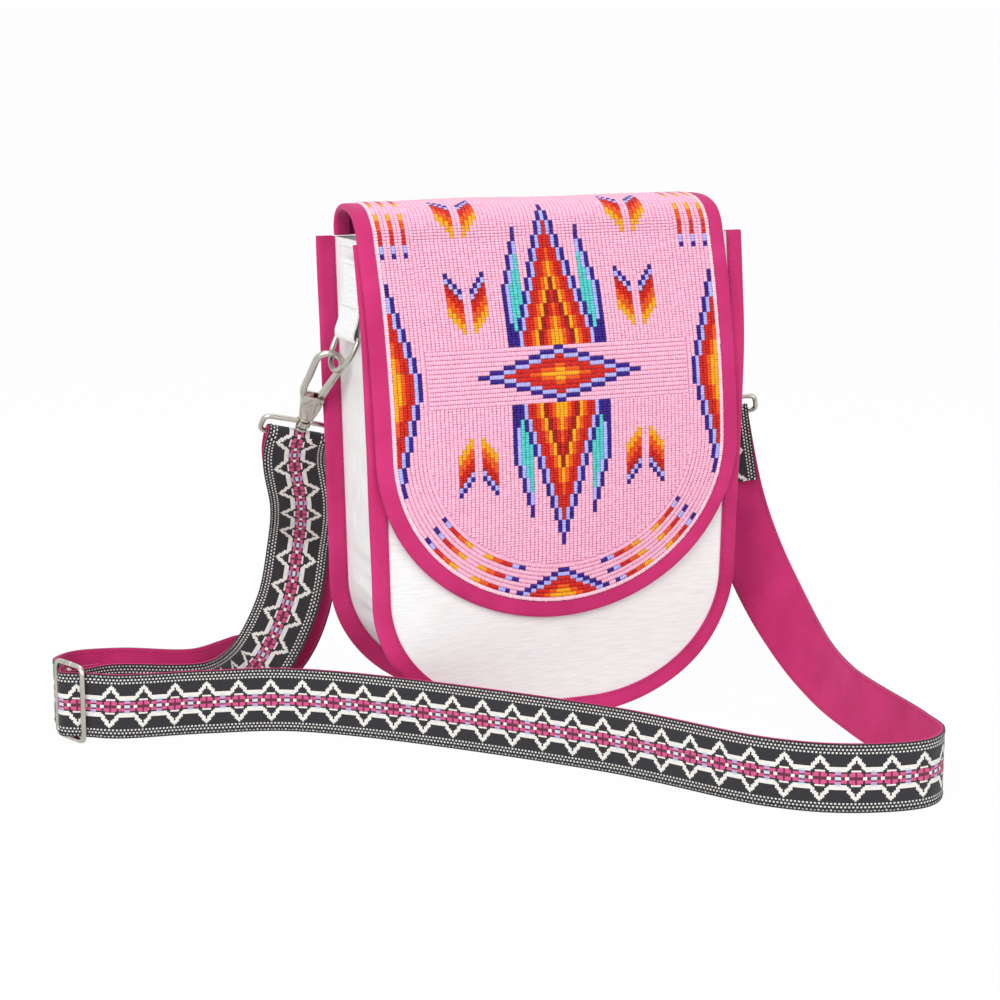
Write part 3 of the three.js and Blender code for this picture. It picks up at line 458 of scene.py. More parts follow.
# Panels: front and back of white slubbed canvas on a stiffener, cut to a deep U.
# The front one sinks back at the mouth, where the flap rolls over it.
panel_high = 0.287
panel_half_top = 0.125
panel_half_low = 0.119
corner_across = 0.098
corner_up = 0.082
panel_inset = 0.0012
panel_deep = 0.0356
panel_thick = 0.0013
panel_belly = 0.0012
belly_half = 0.105
mouth_short = 0.0004
mouth_sink = 0.004
sink_side, sink_fade = 0.112, 0.040
sink_low, sink_rise = 0.203, 0.080
front_lean = 0.011
lean_from = 0.185
lean_over = 0.006
lean_front = -0.03865 + bag_middle
lean_back = 0.0342 + bag_middle


def sides_of(line):
    """Unit vectors across a flat line, to the left of its way."""
    way = unit(np.gradient(line, axis=0))
    return np.stack([-way[:, 1], way[:, 0]], axis=1)


def whole_rim(half, inset):
    """A rim from its left end round to its right end, made from its right half and moved in."""
    inward = sides_of(half)
    inward[0] = (0, 1)
    moved = half + inward * inset
    moved[:, 0] = np.maximum(moved[:, 0], 0)
    moved[-1, 1] = half[-1, 1]
    return np.vstack([moved[:0:-1] * (-1, 1), moved])


def panel_rim(inset):
    """Edge of a panel as (x, z), from the left of the mouth round the bottom to the right."""
    turn = np.linspace(0, math.pi / 2, 50)
    straight = panel_half_low - corner_across
    base = np.linspace((0, 0), (straight, 0), 8)
    corner = np.stack([straight + corner_across * np.sin(turn), corner_up - corner_up * np.cos(turn)], axis=1)
    side = np.linspace((panel_half_low, corner_up), (panel_half_top, panel_high), 40)
    return whole_rim(np.vstack([base, corner[1:], side[1:]]), inset)


def leaned(y, z):
    """The front leans back towards the mouth, less the nearer a point is to the back."""
    tall = panel_high - lean_from
    rise = np.clip((z - lean_from) / tall, 0, 1)
    over = lean_over * (1 - np.exp(-np.clip(z - panel_high, 0, None) / lean_over))
    near = np.clip((lean_back - y) / (lean_back - lean_front), 0, 1)
    return y + front_lean * (rise ** 2 + 2 * over / tall) * near


def eased(share):
    """A share from 0 to 1 that starts and ends gently."""
    share = np.clip(share, 0, 1)
    return share * share * (3 - 2 * share)


def mouth_give(x, z):
    """How far the front sinks back towards the mouth, away from the bound sides."""
    return mouth_sink * eased((sink_side - np.abs(x)) / sink_fade) * eased((z - sink_low) / sink_rise)


def canvas_finish(name, across, along):
    """White canvas: plain weave with thicker slubs along the weft, counted on the sheet's own map."""
    made, tree, shader = new_finish(name, {
        "Roughness": 0.88, "Specular IOR Level": 0.2, "Sheen Weight": 0.1})
    slub_place = own_map(tree, (across, along, 1))
    slub = two_tone(tree, slub_place, 1, (0.78, 0.80, 0.79), (0.89, 0.91, 0.90), 0.25, 0.6)
    tree.links.new(slub, shader.inputs["Base Color"])
    warp = thread_ridges(tree, "X", (420, 60, 1), 1.2)
    weft = thread_ridges(tree, "Y", (60, 420, 1), 1.6)
    raise_bump(tree, shader, joined(tree, "ADD", warp, weft), 0.28, 0.0005)
    return made


def half_wide_at(rim, level):
    """Half the width inside a rim at a level."""
    half = rim[len(rim) // 2:]
    return np.interp(level, half[:, 1], half[:, 0])


panel_edge = panel_rim(panel_inset)
canvas = canvas_finish("slubbed_canvas", 55, 900)
for side, way in (("front", -1), ("back", 1)):
    def panel_place(u, v):
        """A panel bellies out a little between its seams."""
        z = panel_inset + v * (panel_high - panel_inset - mouth_short)
        x = (2 * u - 1) * half_wide_at(panel_edge, z)
        belly = np.clip(1 - (x / belly_half) ** 2, 0, 1) * np.clip(np.sin(z / panel_high * math.pi), 0, 1)
        y = leaned(way * (panel_deep + panel_belly * belly) + bag_middle, z)
        return np.stack([x, y + mouth_give(x, z) if way < 0 else y, z], axis=1)

    panel = laid_sheet(f"{side}_panel_canvas", 60, 70, panel_place)
    size_map(panel, 2 * panel_half_top, panel_high)
    thicken(panel, panel_thick, 0)
    panel.data.materials.append(canvas)
    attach(panel, "bag")
    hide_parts(f"{side}_panel")

# Gusset: one strip of the same canvas round the sides and bottom, its long edges caught in the bindings.
# It is soft, so it sinks in between them and creases at the lower corners.
gusset_inset = 0.0113
gusset_half = 0.0335
gusset_long = 0.72
gusset_thick = 0.0009
gusset_sag, corner_sag = 0.0012, 0.0022
corner_at, corner_spread = 0.17, 0.09
fine_crease, broad_crease = 0.0005, 0.0007


def even_line(line, count):
    """The line again, with points at equal distances."""
    run = run_of(line)
    return at_run(line, run, np.linspace(0, run[-1], count))


gusset_line = even_line(panel_rim(gusset_inset), 500)
gusset_in = sides_of(gusset_line)
gusset_share = np.linspace(0, 1, len(gusset_line))


def gusset_place(u, v):
    """Cloth that hangs slack between the bindings, with its creases deepest at the lower corners."""
    x, z = at_run(gusset_line, gusset_share, v).T
    in_x, in_z = at_run(gusset_in, gusset_share, v).T
    across = 2 * u - 1
    slack = 1 - across ** 2
    corner = np.exp(-((np.abs(v - 0.5) - corner_at) / corner_spread) ** 2)
    crease = fine_crease * np.sin(v * 310 + 2.5 * np.sin(across * 2.1 + v * 40))
    crease += broad_crease * np.sin(v * 137 + across * 2.4)
    sag = slack * (gusset_sag + corner_sag * corner) + crease * slack * (0.3 + corner)
    high = np.minimum(z + in_z * sag, panel_high - mouth_short)
    return np.stack([x + in_x * sag, leaned(across * gusset_half + bag_middle, high), high], axis=1)


gusset = laid_sheet("gusset_canvas", 24, 260, gusset_place)
size_map(gusset, 2 * gusset_half, gusset_long)
thicken(gusset, gusset_thick, 0)
gusset.data.materials.append(canvas_finish("gusset_canvas_weave", 900, 55))
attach(gusset, "bag")
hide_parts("gusset")

# Body bindings: a strip of magenta suede folded over each seam of panel and gusset and stitched through.
# It stands out as a flat edge 10.5 mm wide, a little wavy at its fold.
bag_half_deep = 0.035
binding_wide = 0.0105
binding_half_thick = 0.0020
suede_thick = 0.0007
long_wave, short_wave = 0.0006, 0.0003
sewn_thinner = 0.12
rim_points = 420


def folded(u, wide, half_thick):
    """Section of a strip folded over an edge, as inset and height about the edge's middle."""
    flat = wide - half_thick
    bend = math.pi * half_thick
    run = u * (2 * flat + bend)
    turn = np.clip((run - flat) / half_thick, 0, math.pi)
    inset = half_thick - half_thick * np.sin(turn)
    inset = inset + np.clip(flat - run, 0, None) + np.clip(run - flat - bend, 0, None)
    return inset, half_thick * np.cos(turn)


def along_rim(rim, inset, v):
    """Points at share v along the rim line of each inset."""
    where = np.zeros((len(v), 2))
    for step in np.unique(np.round(inset, 7)):
        chosen = np.abs(inset - step) < 1e-6
        line = even_line(rim(step), rim_points)
        where[chosen] = at_run(line, np.linspace(0, 1, rim_points), v[chosen])
    return where


for side, way in (("front", -1), ("back", 1)):
    def binding_place(u, v):
        """A binding is thinner where it is sewn and sways at its free fold."""
        inset, height = folded(u, binding_wide, binding_half_thick)
        x, z = along_rim(panel_rim, inset, v).T
        free = np.clip(1 - inset / binding_wide, 0, 1)
        sway = free * (long_wave * np.sin(v * 21 + way) + short_wave * np.sin(v * 67))
        y = way * bag_half_deep + height * (1 - sewn_thinner * (1 - free)) + sway
        return np.stack([x, leaned(y + bag_middle, z), z], axis=1)

    binding = laid_sheet(f"{side}_binding_suede", 20, 330, binding_place)
    thicken(binding, suede_thick, 0)
    binding.data.materials.append(suede)
    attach(binding, "bag")
    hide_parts(f"{side}_binding")

# Stitching: waxed thread through the bindings, the strap and the hems, a few millimetres to a stitch.
# One stitch is modelled, fat in the middle and pulled in at both ends, and laid along each seam.
stitch_long = 0.0026
stitch_thick = 0.00055
stitch_pitch = 0.0033


def small_grain(sides, half_wide, half_high, end_shares, long):
    """Points and faces of one small closed barrel, its axis along z, flat on top and thinner at its ends.

    It has few sides, because many thousands are laid, and smooth shading rounds them.
    """
    bpy.ops.object.select_all(action="DESELECT")
    bpy.ops.mesh.primitive_cylinder_add(vertices=sides, radius=1, depth=2, rotation=(0, 0, math.pi / sides))
    bpy.ops.object.transform_apply(location=False, rotation=True, scale=False)
    grain = bpy.context.object
    bpy.ops.object.mode_set(mode="EDIT")
    bpy.ops.mesh.select_mode(type="EDGE")
    bpy.ops.mesh.select_all(action="DESELECT")
    bpy.ops.object.mode_set(mode="OBJECT")
    for edge in grain.data.edges:
        low, high = (grain.data.vertices[k].co.z for k in edge.vertices)
        edge.select = abs(high - low) > 1
    bpy.ops.object.mode_set(mode="EDIT")
    bpy.ops.mesh.subdivide(number_cuts=1)
    bpy.ops.mesh.select_all(action="SELECT")
    bpy.ops.mesh.quads_convert_to_tris()
    bpy.ops.object.mode_set(mode="OBJECT")
    points = np.array([v.co[:] for v in grain.data.vertices])
    on_top = np.abs(points[:, 1]) > 0.6
    at_end = np.abs(points[:, 2]) > 0.5
    top_wider = 1.5
    points[on_top, 0] *= top_wider
    points[at_end, :2] *= end_shares
    points *= np.array((half_wide, half_high, long / 2)) / np.abs(points).max(axis=0)
    faces = np.array([f.vertices[:] for f in grain.data.polygons])
    bpy.ops.object.delete()
    return points, faces


def laid_copies(name, grain, at, way, up, size):
    """One piece made of copies of a grain, each at a place with its axis along the way and its side up."""
    points, faces = grain
    up = unit(up)
    way = unit(way - np.sum(way * up, axis=1)[:, None] * up)
    axes = np.stack([np.cross(up, way), up, way], axis=1) * size[:, None, None]
    spread = np.einsum("pk,nkj->npj", points, axes) + at[:, None, :]
    ring = (faces[None] + (np.arange(len(at)) * len(points))[:, None, None]).reshape(-1, faces.shape[1])
    mesh = bpy.data.meshes.new(name)
    mesh.from_pydata(spread.reshape(-1, 3), [], ring)
    mesh.polygons.foreach_set("use_smooth", np.ones(len(ring), bool))
    mesh.update()
    piece = bpy.data.objects.new(name, mesh)
    bpy.context.collection.objects.link(piece)
    return piece


stitch = small_grain(4, stitch_thick / 2, stitch_thick / 2, (0.5, 0.5), stitch_long)


def thread_finish(name, dark, light):
    """Twisted thread."""
    made, tree, shader = new_finish(name, {"Roughness": 0.6})
    place = place_on(tree)
    tree.links.new(two_tone(tree, place, 900, dark, light), shader.inputs["Base Color"])
    raise_bump(tree, shader, speckle(tree, place, 3000), 0.3, 0.0002)
    return made


def sewn_seam(name, line, up, body, finish):
    """Stitches along a line of points; up is the way out of the cloth, one for all or one for each point."""
    run = run_of(line)
    step = 5e-4
    at = np.arange(stitch_pitch, run[-1] - stitch_pitch, stitch_pitch)
    middle = at_run(line, run, at)
    way = at_run(line, run, at + step) - middle
    out = at_run(np.broadcast_to(up, line.shape), run, at)
    seam = laid_copies(name, stitch, middle, way, out, np.ones(len(at)))
    seam.data.materials.append(finish)
    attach(seam, body)
    return seam


magenta_thread = thread_finish("magenta_thread", (0.42, 0.016, 0.13), (0.56, 0.03, 0.19))
white_thread = thread_finish("white_thread", (0.66, 0.66, 0.64), (0.82, 0.82, 0.80))
black_thread = thread_finish("black_thread", (0.012, 0.012, 0.015), (0.03, 0.03, 0.035))

# Each binding has a row on both sides, close to its sewn edge.
seam_inset = 0.0013
seam_lift = 0.0023
seam_x, seam_z = even_line(panel_rim(binding_wide - seam_inset), 500).T
for side, way in (("front", -1), ("back", 1)):
    for name, out in (("outer", way), ("inner", -way)):
        seam_y = leaned(way * bag_half_deep + out * seam_lift + bag_middle, seam_z)
        line = np.stack([seam_x, seam_y, seam_z], axis=1)
        sewn_seam(f"{side}_binding_{name}_stitches", line, (0, out, 0), "bag",
                  magenta_thread)

# The strap has a row near each edge, black on the ribbon and magenta on the backing.
strap_seam = 0.045
strap_share = np.linspace(0, 1, 3000)
for name, u in (("upper", 1 - strap_seam), ("lower", strap_seam)):
    for face, height, finish, slot in (("ribbon", 0.00108, black_thread, "woven_ribbon"),
                                       ("backing", -0.00105, magenta_thread, "magenta_suede")):
        line = on_strap(u, strap_share, height)
        out = line - on_strap(u, strap_share, 0)
        sewn_seam(f"strap_{face}_{name}_stitches", line, out, "bag", finish)

# The gusset's two ends are hemmed at the mouth.
hem_high = 0.282
thread_lift = 0.0005
hem_across = np.linspace(-0.031, 0.031, 40)
hem_x = half_wide_at(panel_edge, hem_high) + panel_inset - gusset_inset + thread_lift
hem_x = hem_x - gusset_sag * (1 - (hem_across / gusset_half) ** 2)
hem_y = leaned(hem_across + bag_middle, hem_high)
for side, way in (("left", -1), ("right", 1)):
    line = np.stack([way * hem_x, hem_y, np.full_like(hem_across, hem_high)], axis=1)
    sewn_seam(f"{side}_mouth_hem_stitches", line, (way, 0, 0), "bag", white_thread)

# Tabs: a strip of the same canvas doubled round each D ring's bar and laid on the gusset.
# A box of white stitches holds it above the ring.
tab_wide = 0.0296
tab_long = 0.1
tab_thick = 0.0009
tab_points = np.array([
    (0.1142, 0.2735), (0.1140, 0.2560), (0.1143, 0.2420), (0.1160, 0.2350), (0.1163, 0.2320),
    (0.1171, 0.2301), (0.1189, 0.2294), (0.1207, 0.2301), (0.1215, 0.2320), (0.1213, 0.2350),
    (0.1190, 0.2420), (0.1172, 0.2560), (0.1168, 0.2760),
])
tab_line = smooth_line(tab_points, 8)
tab_run = run_of(tab_line)
box_top, box_low, box_half = 0.2735, 0.2490, 0.0122
box_corners = np.array([(-1, box_top), (1, box_top), (1, box_low), (-1, box_low), (-1, box_top)])
box_y, box_z = np.vstack([np.linspace(a, b, 12) for a, b in zip(box_corners, box_corners[1:])]).T
box_x = np.interp(box_z, tab_points[-3:, 1], tab_points[-3:, 0]) + thread_lift
for side, way in (("left", -1), ("right", 1)):
    def tab_place(u, v):
        """The strip goes down behind the ring's bar, round it and up again."""
        x, z = at_run(tab_line, tab_run, v * tab_run[-1]).T
        return np.stack([way * x, way * (0.5 - u) * tab_wide + bag_middle, z], axis=1)

    tab = laid_sheet(f"{side}_tab_canvas", 10, 90, tab_place)
    size_map(tab, tab_wide, tab_long)
    thicken(tab, tab_thick, 0)
    tab.data.materials.append(canvas)
    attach(tab, "bag")
    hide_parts(f"{side}_tab")
    line = np.stack([way * box_x, box_y * box_half + bag_middle, box_z], axis=1)
    sewn_seam(f"{side}_tab_stitches", line, (way, 0, 0), "bag", white_thread)

# Hardware: nickel-plated wire and castings, polished, with the edges a little rounded by the plating.
# Each piece is a copy of its solid with its rounds smoothed; the hooks, their gates and pins, and the slider
# bar also have their edges broken.
metal_smooth = math.radians(48)
nickel, tree, shader = new_finish("polished_nickel", {"Metallic": 1, "Roughness": 0.2})
nickel_place = place_on(tree)
nickel_tone = two_tone(tree, nickel_place, 60, (0.43, 0.41, 0.36), (0.56, 0.54, 0.48))
tree.links.new(nickel_tone, shader.inputs["Base Color"])
wear = speckle(tree, nickel_place, 240, 5)
tree.links.new(ranged(tree, wear, 0.14, 0.32), shader.inputs["Roughness"])
raise_bump(tree, shader, wear, 0.05, 0.0004)


def polished_copy(node, body, break_edge):
    """A copy of a solid with merged corners and smooth rounds, and with broken edges when break_edge is
    given.
    """
    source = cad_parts[node]
    piece = bpy.data.objects.new(f"{node}_polished", source.data.copy())
    piece.data.materials.clear()
    bpy.context.collection.objects.link(piece)
    choose(piece)
    bpy.ops.object.mode_set(mode="EDIT")
    bpy.ops.mesh.select_all(action="SELECT")
    bpy.ops.mesh.remove_doubles(threshold=0.00002)
    bpy.ops.mesh.dissolve_limited(angle_limit=math.radians(2))
    bpy.ops.object.mode_set(mode="OBJECT")
    if break_edge:
        bevel = piece.modifiers.new("broken_edges", "BEVEL")
        bevel.width = break_edge
        bevel.segments = 2
        bevel.limit_method = "ANGLE"
        bevel.angle_limit = math.radians(50)
        apply_all(piece)
    bpy.ops.object.shade_smooth_by_angle(angle=metal_smooth)
    piece.data.materials.append(nickel)
    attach(piece, body)
    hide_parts(node)
    return piece


for side in ("left", "right"):
    polished_copy(f"{side}_d_ring", f"{side}_d_ring", 0)
    polished_copy(f"{side}_hook", f"{side}_hook", 0.0004)
    polished_copy(f"{side}_gate_pin", f"{side}_hook", 0.0002)
    polished_copy(f"{side}_gate", f"{side}_gate", 0.0004)
    polished_copy(f"{side}_strap_loop", "bag", 0)
polished_copy("slider_frame", "bag", 0)
polished_copy("slider_bar", "bag", 0.0003)

# The slider's middle bar is rolled round the frame's upper and lower wires.
slider_way = Vector((-0.305, 0.952, 0))
slider_middle = Vector((-0.28112, 0.03285 + bag_middle, 0.0237))
slider_half = 0.0218
eye_round = 0.00185
eye_long = 0.0065
for name, way in (("upper", 1), ("lower", -1)):
    bpy.ops.object.select_all(action="DESELECT")
    bpy.ops.mesh.primitive_cylinder_add(vertices=24, radius=eye_round, depth=eye_long)
    eye = bpy.context.object
    eye.name = f"slider_bar_{name}_eye"
    turned = slider_way.to_track_quat("Z", "Y").to_matrix().to_4x4()
    eye.data.transform(Matrix.Translation(slider_middle + Vector((0, 0, way * slider_half))) @ turned)
    bevel = eye.modifiers.new("broken_edges", "BEVEL")
    bevel.width = 0.0002
    apply_all(eye)
    bpy.ops.object.shade_smooth_by_angle(angle=metal_smooth)
    eye.data.materials.append(nickel)
    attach(eye, "bag")

# Flap: stiff lining, beadwork on its face and suede round its edge, hung from the back panel's top.
# It is stroked a little to the left as it rolls forward over the mouth, and its face sinks back there.
flap_half = 0.117
flap_rear = 0.113
flap_end = 0.102
flap_low = 0.063
rear_from = 0.240
fold_low = 0.288
fold_top = 0.3055
fold_full = 0.86
fold_crest = -0.003 + bag_middle
seam_high = 0.2873
flap_stroke = -0.0068
stroke_from, stroke_over, stroke_back = 0.075, 0.150, 0.235
stroke_bend, stroke_return = 1.3, 0.9
roll_sink = 0.35
rear_sink = 0.090
flap_ripple = 0.0006
fold_turn = np.linspace(0.02, 1, 24) * math.pi / 2
flap_side = np.vstack([
    np.stack([np.full(60, lean_front), np.linspace(flap_low, fold_low, 60)], axis=1),
    np.stack([fold_crest + (lean_front - fold_crest) * np.cos(fold_turn) ** fold_full,
              fold_low + (fold_top - fold_low) * np.sin(fold_turn) ** fold_full], axis=1),
    np.stack([fold_crest + (lean_back - fold_crest) * np.sin(fold_turn) ** fold_full,
              seam_high + (fold_top - seam_high) * np.cos(fold_turn) ** fold_full], axis=1),
])
flap_run = run_of(flap_side)
flap_long = flap_run[-1]
flap_out = sides_of(flap_side)


def on_flap(x, s, height):
    """Point on the flap: x across, s along the cloth from its lower end, height out from the lining."""
    y, z = at_run(flap_side, flap_run, s).T
    out_y, out_z = at_run(flap_out, flap_run, s).T
    rise = np.clip((s - stroke_from) / stroke_over, 0, 1)
    back = np.clip((s - stroke_back) / (flap_long - stroke_back), 0, 1)
    shift = flap_stroke * (rise ** stroke_bend - stroke_return * back)
    sunk = mouth_give(x, s + flap_low) * np.clip((flap_long - s) / rear_sink, 0, 1)
    tall = height + flap_ripple * np.sin(x * 41 + s * 23) * np.sin(s * 37 - x * 17)
    front = np.clip(-out_y, 0, 1)
    high = z + out_z * tall - roll_sink * sunk * (1 - front)
    return np.stack([x + shift, leaned(y + out_y * tall, high) + sunk * front, high], axis=1)


curve_points = 60


def flap_rim(inset):
    """Edge of the flap as (x, s), from the left back corner round the end to the right one."""
    turn = np.linspace(0, math.pi / 2, curve_points)
    curved = np.stack([flap_half * np.sin(turn), flap_end - flap_end * np.cos(turn)], axis=1)
    along = np.linspace(flap_end, flap_long, 90)[1:]
    narrow = np.clip((along - rear_from) / (flap_long - rear_from), 0, 1)
    side = np.stack([flap_half + (flap_rear - flap_half) * narrow, along], axis=1)
    return whole_rim(np.vstack([curved, side]), inset)


# Flap lining: a stiffened sheet of magenta suede, sewn to the back panel's top; its darker colour is painted
# shade for the inside of the roll.
# It shows inside the roll and when the flap is up.
lining_high = 0.0008
lining_thick = 0.0014
lining_start = 0.0012
lining_rim = flap_rim(0.0010)


def lining_place(u, v):
    """The lining narrows to its rounded end."""
    s = lining_start + v * (flap_long - lining_start)
    return on_flap((2 * u - 1) * half_wide_at(lining_rim, s), s, lining_high)


lining = laid_sheet("flap_lining_suede", 40, 120, lining_place)
thicken(lining, lining_thick, 0)
# The lining's suede is darkened as painted shade: the shadow inside the flap's roll, not a darker dye.
lining.data.materials.append(suede_finish("lining_suede", (0.30, 0.014, 0.10), (0.40, 0.022, 0.14)))
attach(lining, "flap")
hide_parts("flap_lining")

# Flap binding: one strip of magenta suede folded over the flap's edge, 9 mm wide on the face.
# It goes from the back seam down one side, round the end and up the other side.
flap_binding_wide = 0.0092
flap_binding_half_thick = 0.00145
binding_puff = 0.00025


def flap_binding_place(u, v):
    """The binding is a little fuller between its fold and its sewn edge."""
    inset, height = folded(u, flap_binding_wide, flap_binding_half_thick)
    x, s = along_rim(flap_rim, inset, v).T
    puff = binding_puff * np.sin(np.clip(inset / flap_binding_wide, 0, 1) * math.pi) * np.sign(height)
    return on_flap(x, s, lining_high + height + puff)


flap_binding = laid_sheet("flap_binding_suede", 20, 330, flap_binding_place)
thicken(flap_binding, suede_thick, 0)
flap_binding.data.materials.append(suede)
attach(flap_binding, "flap")
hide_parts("flap_binding")

# Beadwork: glass seed beads about 2.5 mm across and 1.5 mm long, sewn down in lanes.
# Nine lanes follow the flap's edge, upright lanes fill the middle, and level lanes make the cross band.
bead_wide = 0.00253
bead_long = 0.00150
bead_half_high = 0.00082
bead_height = 0.00268
rim_lanes = 9
bead_side = flap_binding_wide + 0.0003
band_at = 0.146
band_half = 0.0168
bead_fill = 1.06
bead_grain = small_grain(6, bead_fill * bead_wide / 2, bead_half_high, (0.86, 0.60), bead_long)


def step_in(distance, *bands):
    """Colour at a distance inside an outline, from a list of (band width, colour)."""
    for wide, colour in bands:
        if distance < wide:
            return colour
        distance -= wide
    return bands[-1][1]


# Colours by the count of lanes inside a stepped outline, with the steps counted in beads.
flame_steps = ("navy", "periwinkle", "red", "red", "orange", "yellow", "yellow")
point_steps = flame_steps[:6] + ("dark_red", "red", "orange", "yellow", "yellow")
point_lanes, point_foot, point_step = 10, 0.7, 5.15
blade_lanes, blade_foot, blade_step = 12, 18.8, 5.3
leaf_from, leaf_lane, leaf_root, leaf_spread = 8, 10, 5, 0.263
feather_lane, feather_long, feather_tip = 21.5, 17, 16.99
feather_roots = ((0.0265, 1), (0.0800, 1), (-0.0345, -1))
feather_bands = ((2, "navy"), (2, "periwinkle"), (1, "dark_red"), (4, "red"), (4, "orange"), (5, "yellow"))


def field_colour(column, v):
    """Colour of a bead in an upright lane: column counted from the middle, v in metres from the band."""
    row = (abs(v) - band_half) / bead_long
    away = abs(column)
    # Points: ten lanes to each side at the foot, stepping in by a lane every five beads.
    outline = point_lanes - math.floor(max(0.0, row - point_foot) / point_step)
    if away <= outline:
        return point_steps[outline - away]
    # Blades against the points: a navy foot and outer edge, periwinkle inside it, and a turquoise leaf.
    outer = blade_lanes - math.floor(max(0.0, row - blade_foot) / blade_step)
    if leaf_from <= away <= outer:
        if away == outer or abs(away - leaf_lane) > leaf_spread * (row - leaf_root):
            return "navy"
        return "periwinkle" if away == outer - 1 else "turquoise"
    # Feathers: pairs of four lanes that lean together, navy at the tip and yellow at the root.
    pair = abs(away - feather_lane)
    if 1 < pair < 5:
        for root, way in feather_roots:
            along = (v - root) * way / bead_long - 2 * (pair - 1.5)
            if 0 <= along < feather_long:
                return step_in(feather_tip - along, *feather_bands)
    return "pink"


# The diamond on the cross band: half its length, and the beads to a step.
diamond_half, diamond_step = 0.053, 5.5


def band_colour(row, x):
    """Colour of a bead in a level lane of the cross band, counted from the middle one."""
    reach = math.floor((diamond_half - abs(x)) / bead_long / diamond_step)
    return flame_steps[reach - abs(row)] if abs(row) <= reach else "pink"


# Figures at the edge: depth in lanes, steps in beads, places in metres or as shares of the curved end.
edge_lanes, end_step = 7, 2.9
edge_from, edge_middle = 0.060, band_at - 0.003
edge_up, edge_down = 0.0600, 0.0640
bar_bands = ((4, "yellow"), (4, "orange"), (5, "red"), (3, "periwinkle"), (2.6, "navy"))
bar_long = 18.6
side_bars = (0.0975, 0.1075)
end_bars = (0.4150, 0.4850)


def rim_colour(lane, s, from_end, lane_long):
    """Colour of a bead in a lane that follows the edge; from_end is its distance from the flap's end."""
    if lane == 0:
        return "pale_pink"
    # Half diamonds against the edge, seven lanes deep: two at the sides and one at the end.
    reach = edge_lanes - math.floor(abs(from_end) / bead_long / end_step)
    if s > edge_from:
        from_middle = abs(s - edge_middle) / (edge_up if s > band_at else edge_down)
        reach = edge_lanes - math.floor(from_middle * edge_lanes)
    if lane <= reach:
        return flame_steps[reach - lane]
    # Groups of three short bars, one lane wide.
    if lane % 3 == 1:
        above = s - band_at
        share = abs(from_end) / lane_long
        for along in (side_bars[0] - above, above - side_bars[1],
                      (end_bars[0] - share) * lane_long, (share - end_bars[1]) * lane_long):
            if 0 <= along / bead_long < bar_long:
                return step_in(along / bead_long, *bar_bands)
    return "pink"


# The cloth under the beads, in their own pink.
ground_rim = flap_rim(bead_side)
ground_start = bead_side + 0.0005
ground_high = 0.0021
ground_thick = 0.0004


def ground_place(u, v):
    """The cloth fills the flap's face inside the binding."""
    s = ground_start + v * (flap_long - ground_start)
    return on_flap((2 * u - 1) * half_wide_at(ground_rim, s), s, ground_high)


bead_cloth = laid_sheet("bead_ground_cloth", 40, 120, ground_place)
thicken(bead_cloth, ground_thick, 0)
pink_cloth, tree, shader = new_finish("pink_bead_cloth", {"Roughness": 0.9})
cloth_tone = two_tone(tree, place_on(tree), 900, (0.90, 0.45, 0.65), (0.97, 0.55, 0.75))
tree.links.new(cloth_tone, shader.inputs["Base Color"])
bead_cloth.data.materials.append(pink_cloth)
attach(bead_cloth, "flap")
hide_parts("bead_ground")

bead_places = {}


def sew_bead(colour, x, s, way):
    """Notes a bead at (x, s), its hole along the way (dx, ds)."""
    bead_places.setdefault(colour, []).append((x, s, way[0], way[1]))


for lane in range(rim_lanes):
    line = flap_rim(bead_side + (lane + 0.5) * bead_wide)
    run = run_of(line)
    ends_at = np.interp(0, line[:, 0], run)
    curve_long = np.interp(flap_end, line[len(line) // 2:, 1], run[len(line) // 2:]) - ends_at
    count = int(run[-1] / bead_long)
    at = (np.arange(count) + 0.5) * run[-1] / count
    ways = at_run(line, run, at + 0.001) - at_run(line, run, at - 0.001)
    for from_end, (x, s), way in zip(at - ends_at, at_run(line, run, at), ways):
        sew_bead(rim_colour(lane, s, from_end, curve_long), x, s, way)
inner_rim = flap_rim(bead_side + rim_lanes * bead_wide)
inner_curve = inner_rim[len(inner_rim) // 2:][:curve_points]
inner_wide = inner_rim[:, 0].max()
columns = int(inner_wide / bead_wide)
for column in range(-columns, columns + 1):
    x = column * bead_wide
    lowest = np.interp(abs(x), inner_curve[:, 0], inner_curve[:, 1])
    for low, high in ((lowest, band_at - band_half), (band_at + band_half, flap_long)):
        count = int((high - low) / bead_long)
        first = high - count * bead_long if low == lowest else low
        for k in range(count):
            s = first + (k + 0.5) * bead_long
            if abs(x) < half_wide_at(inner_rim, s):
                sew_bead(field_colour(column, s - band_at), x, s, (0, 1))
band_rows = round(2 * band_half / bead_wide)
for row in range(band_rows):
    s = band_at - band_half + (row + 0.5) * 2 * band_half / band_rows
    count = int(2 * inner_wide / bead_long)
    for k in range(count):
        x = (k + 0.5 - count / 2) * bead_long
        sew_bead(band_colour(row - band_rows // 2, x), x, s, (1, 0))
size_sway, across_sway, along_sway = 0.035, 0.00005, 0.00004


def sewn_beads(name, places, seed):
    """All beads of one colour as one piece, each copied from the bead above with a slight sway."""
    x, s, dx, ds = np.array(places).T
    sway = np.random.default_rng(seed)
    count = len(x)
    size = 1 + size_sway * sway.standard_normal(count)
    x = x + across_sway * sway.standard_normal(count)
    s = s + along_sway * sway.standard_normal(count)
    long = np.hypot(dx, ds)
    dx, ds = dx / long, ds / long
    at = on_flap(x, s, bead_height)
    up = on_flap(x, s, bead_height + 0.001) - at
    hole = on_flap(x + 0.0004 * dx, s + 0.0004 * ds, bead_height) - at
    return laid_copies(name, bead_grain, at, hole, up, size)


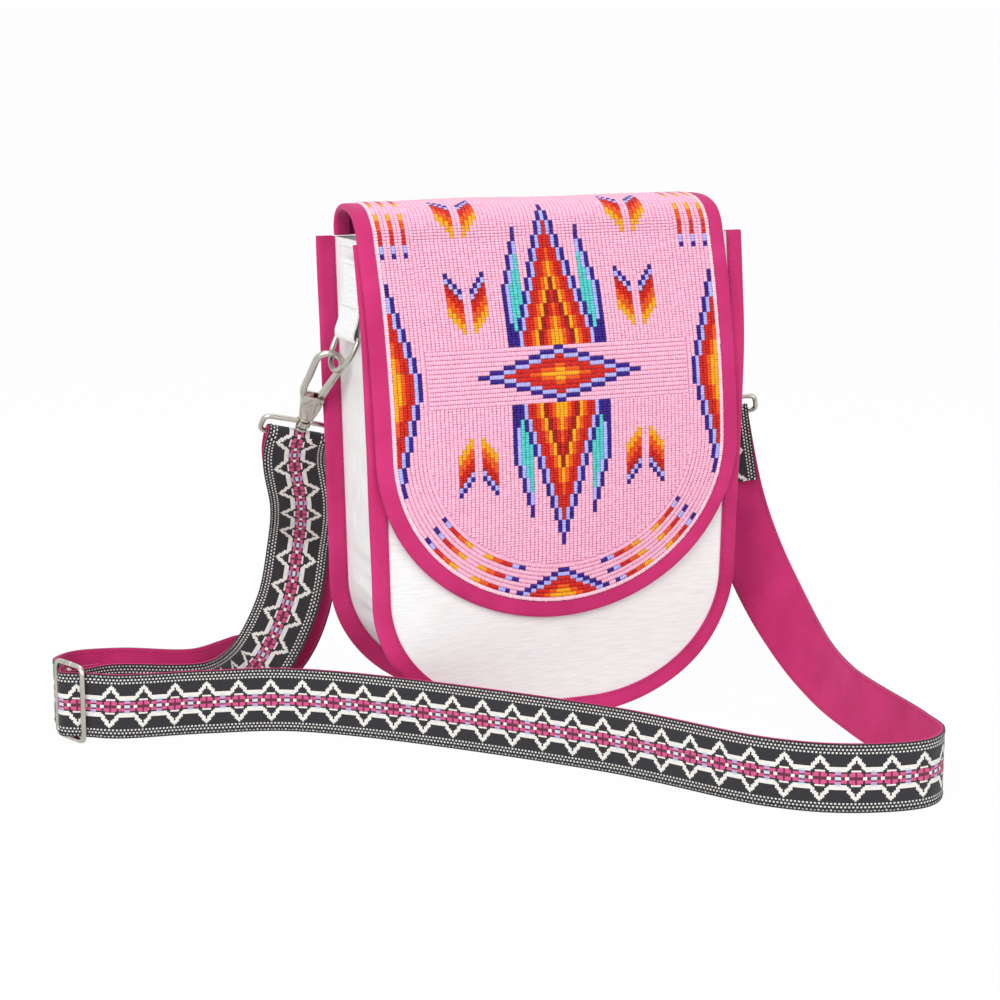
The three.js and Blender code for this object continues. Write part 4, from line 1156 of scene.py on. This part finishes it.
def bead_finish(name, dark, light):
    """Pressed glass with a shine, each bead a little different."""
    made, tree, shader = new_finish(name, {
        "Roughness": 0.2, "Specular IOR Level": 0.22, "Coat Weight": 0.03, "Coat Roughness": 0.1})
    place = place_on(tree)
    tree.links.new(two_tone(tree, place, 420, dark, light), shader.inputs["Base Color"])
    raise_bump(tree, shader, speckle(tree, place, 2400), 0.08, 0.0002)
    return made


bead_tints = {
    "pink": ((0.87, 0.43, 0.59), (0.92, 0.52, 0.67), "pink_beads"),
    "pale_pink": ((0.92, 0.56, 0.66), (0.98, 0.67, 0.76), "pink_beads"),
    "navy": ((0.020, 0.006, 0.17), (0.040, 0.010, 0.29), "navy_beads"),
    "periwinkle": ((0.36, 0.38, 0.82), (0.50, 0.52, 0.95), "navy_beads"),
    "dark_red": ((0.26, 0.006, 0.006), (0.40, 0.010, 0.008), "red_beads"),
    "red": ((0.52, 0.011, 0.006), (0.68, 0.018, 0.008), "red_beads"),
    "orange": ((0.74, 0.072, 0.005), (0.86, 0.13, 0.008), "orange_beads"),
    "yellow": ((0.80, 0.33, 0.006), (0.92, 0.46, 0.013), "yellow_beads"),
    "turquoise": ((0.06, 0.50, 0.48), (0.12, 0.66, 0.64), "turquoise_beads"),
}
field_ends = {"navy": "_edge", "red": "_flame", "yellow": "_heart",
              "turquoise": "_blade", "orange": "_feather"}
bead_stands_for = {colour: [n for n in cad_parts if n.endswith(end)]
                   for colour, end in field_ends.items()}

# The pink beads make three pieces, so that none is too large.
lower_to, middle_to = 0.115, 0.205
pink_zones = {"lower": [], "middle": [], "upper": []}
for place in bead_places.pop("pink"):
    zone = "lower" if place[1] < lower_to else "middle" if place[1] < middle_to else "upper"
    pink_zones[zone].append(place)
bead_groups = [(f"pink_beads_{zone}", "pink", places) for zone, places in pink_zones.items()]
bead_groups += [(f"{colour}_beads", colour, places) for colour, places in sorted(bead_places.items())]
bead_finishes = {colour: bead_finish(f"{colour}_glass", *tints[:2]) for colour, tints in bead_tints.items()}
for seed, (name, colour, places) in enumerate(bead_groups):
    piece = sewn_beads(name, places, seed)
    piece.data.materials.append(bead_finishes[colour])
    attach(piece, "flap")
    if colour in bead_stands_for:
        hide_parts(*bead_stands_for[colour])
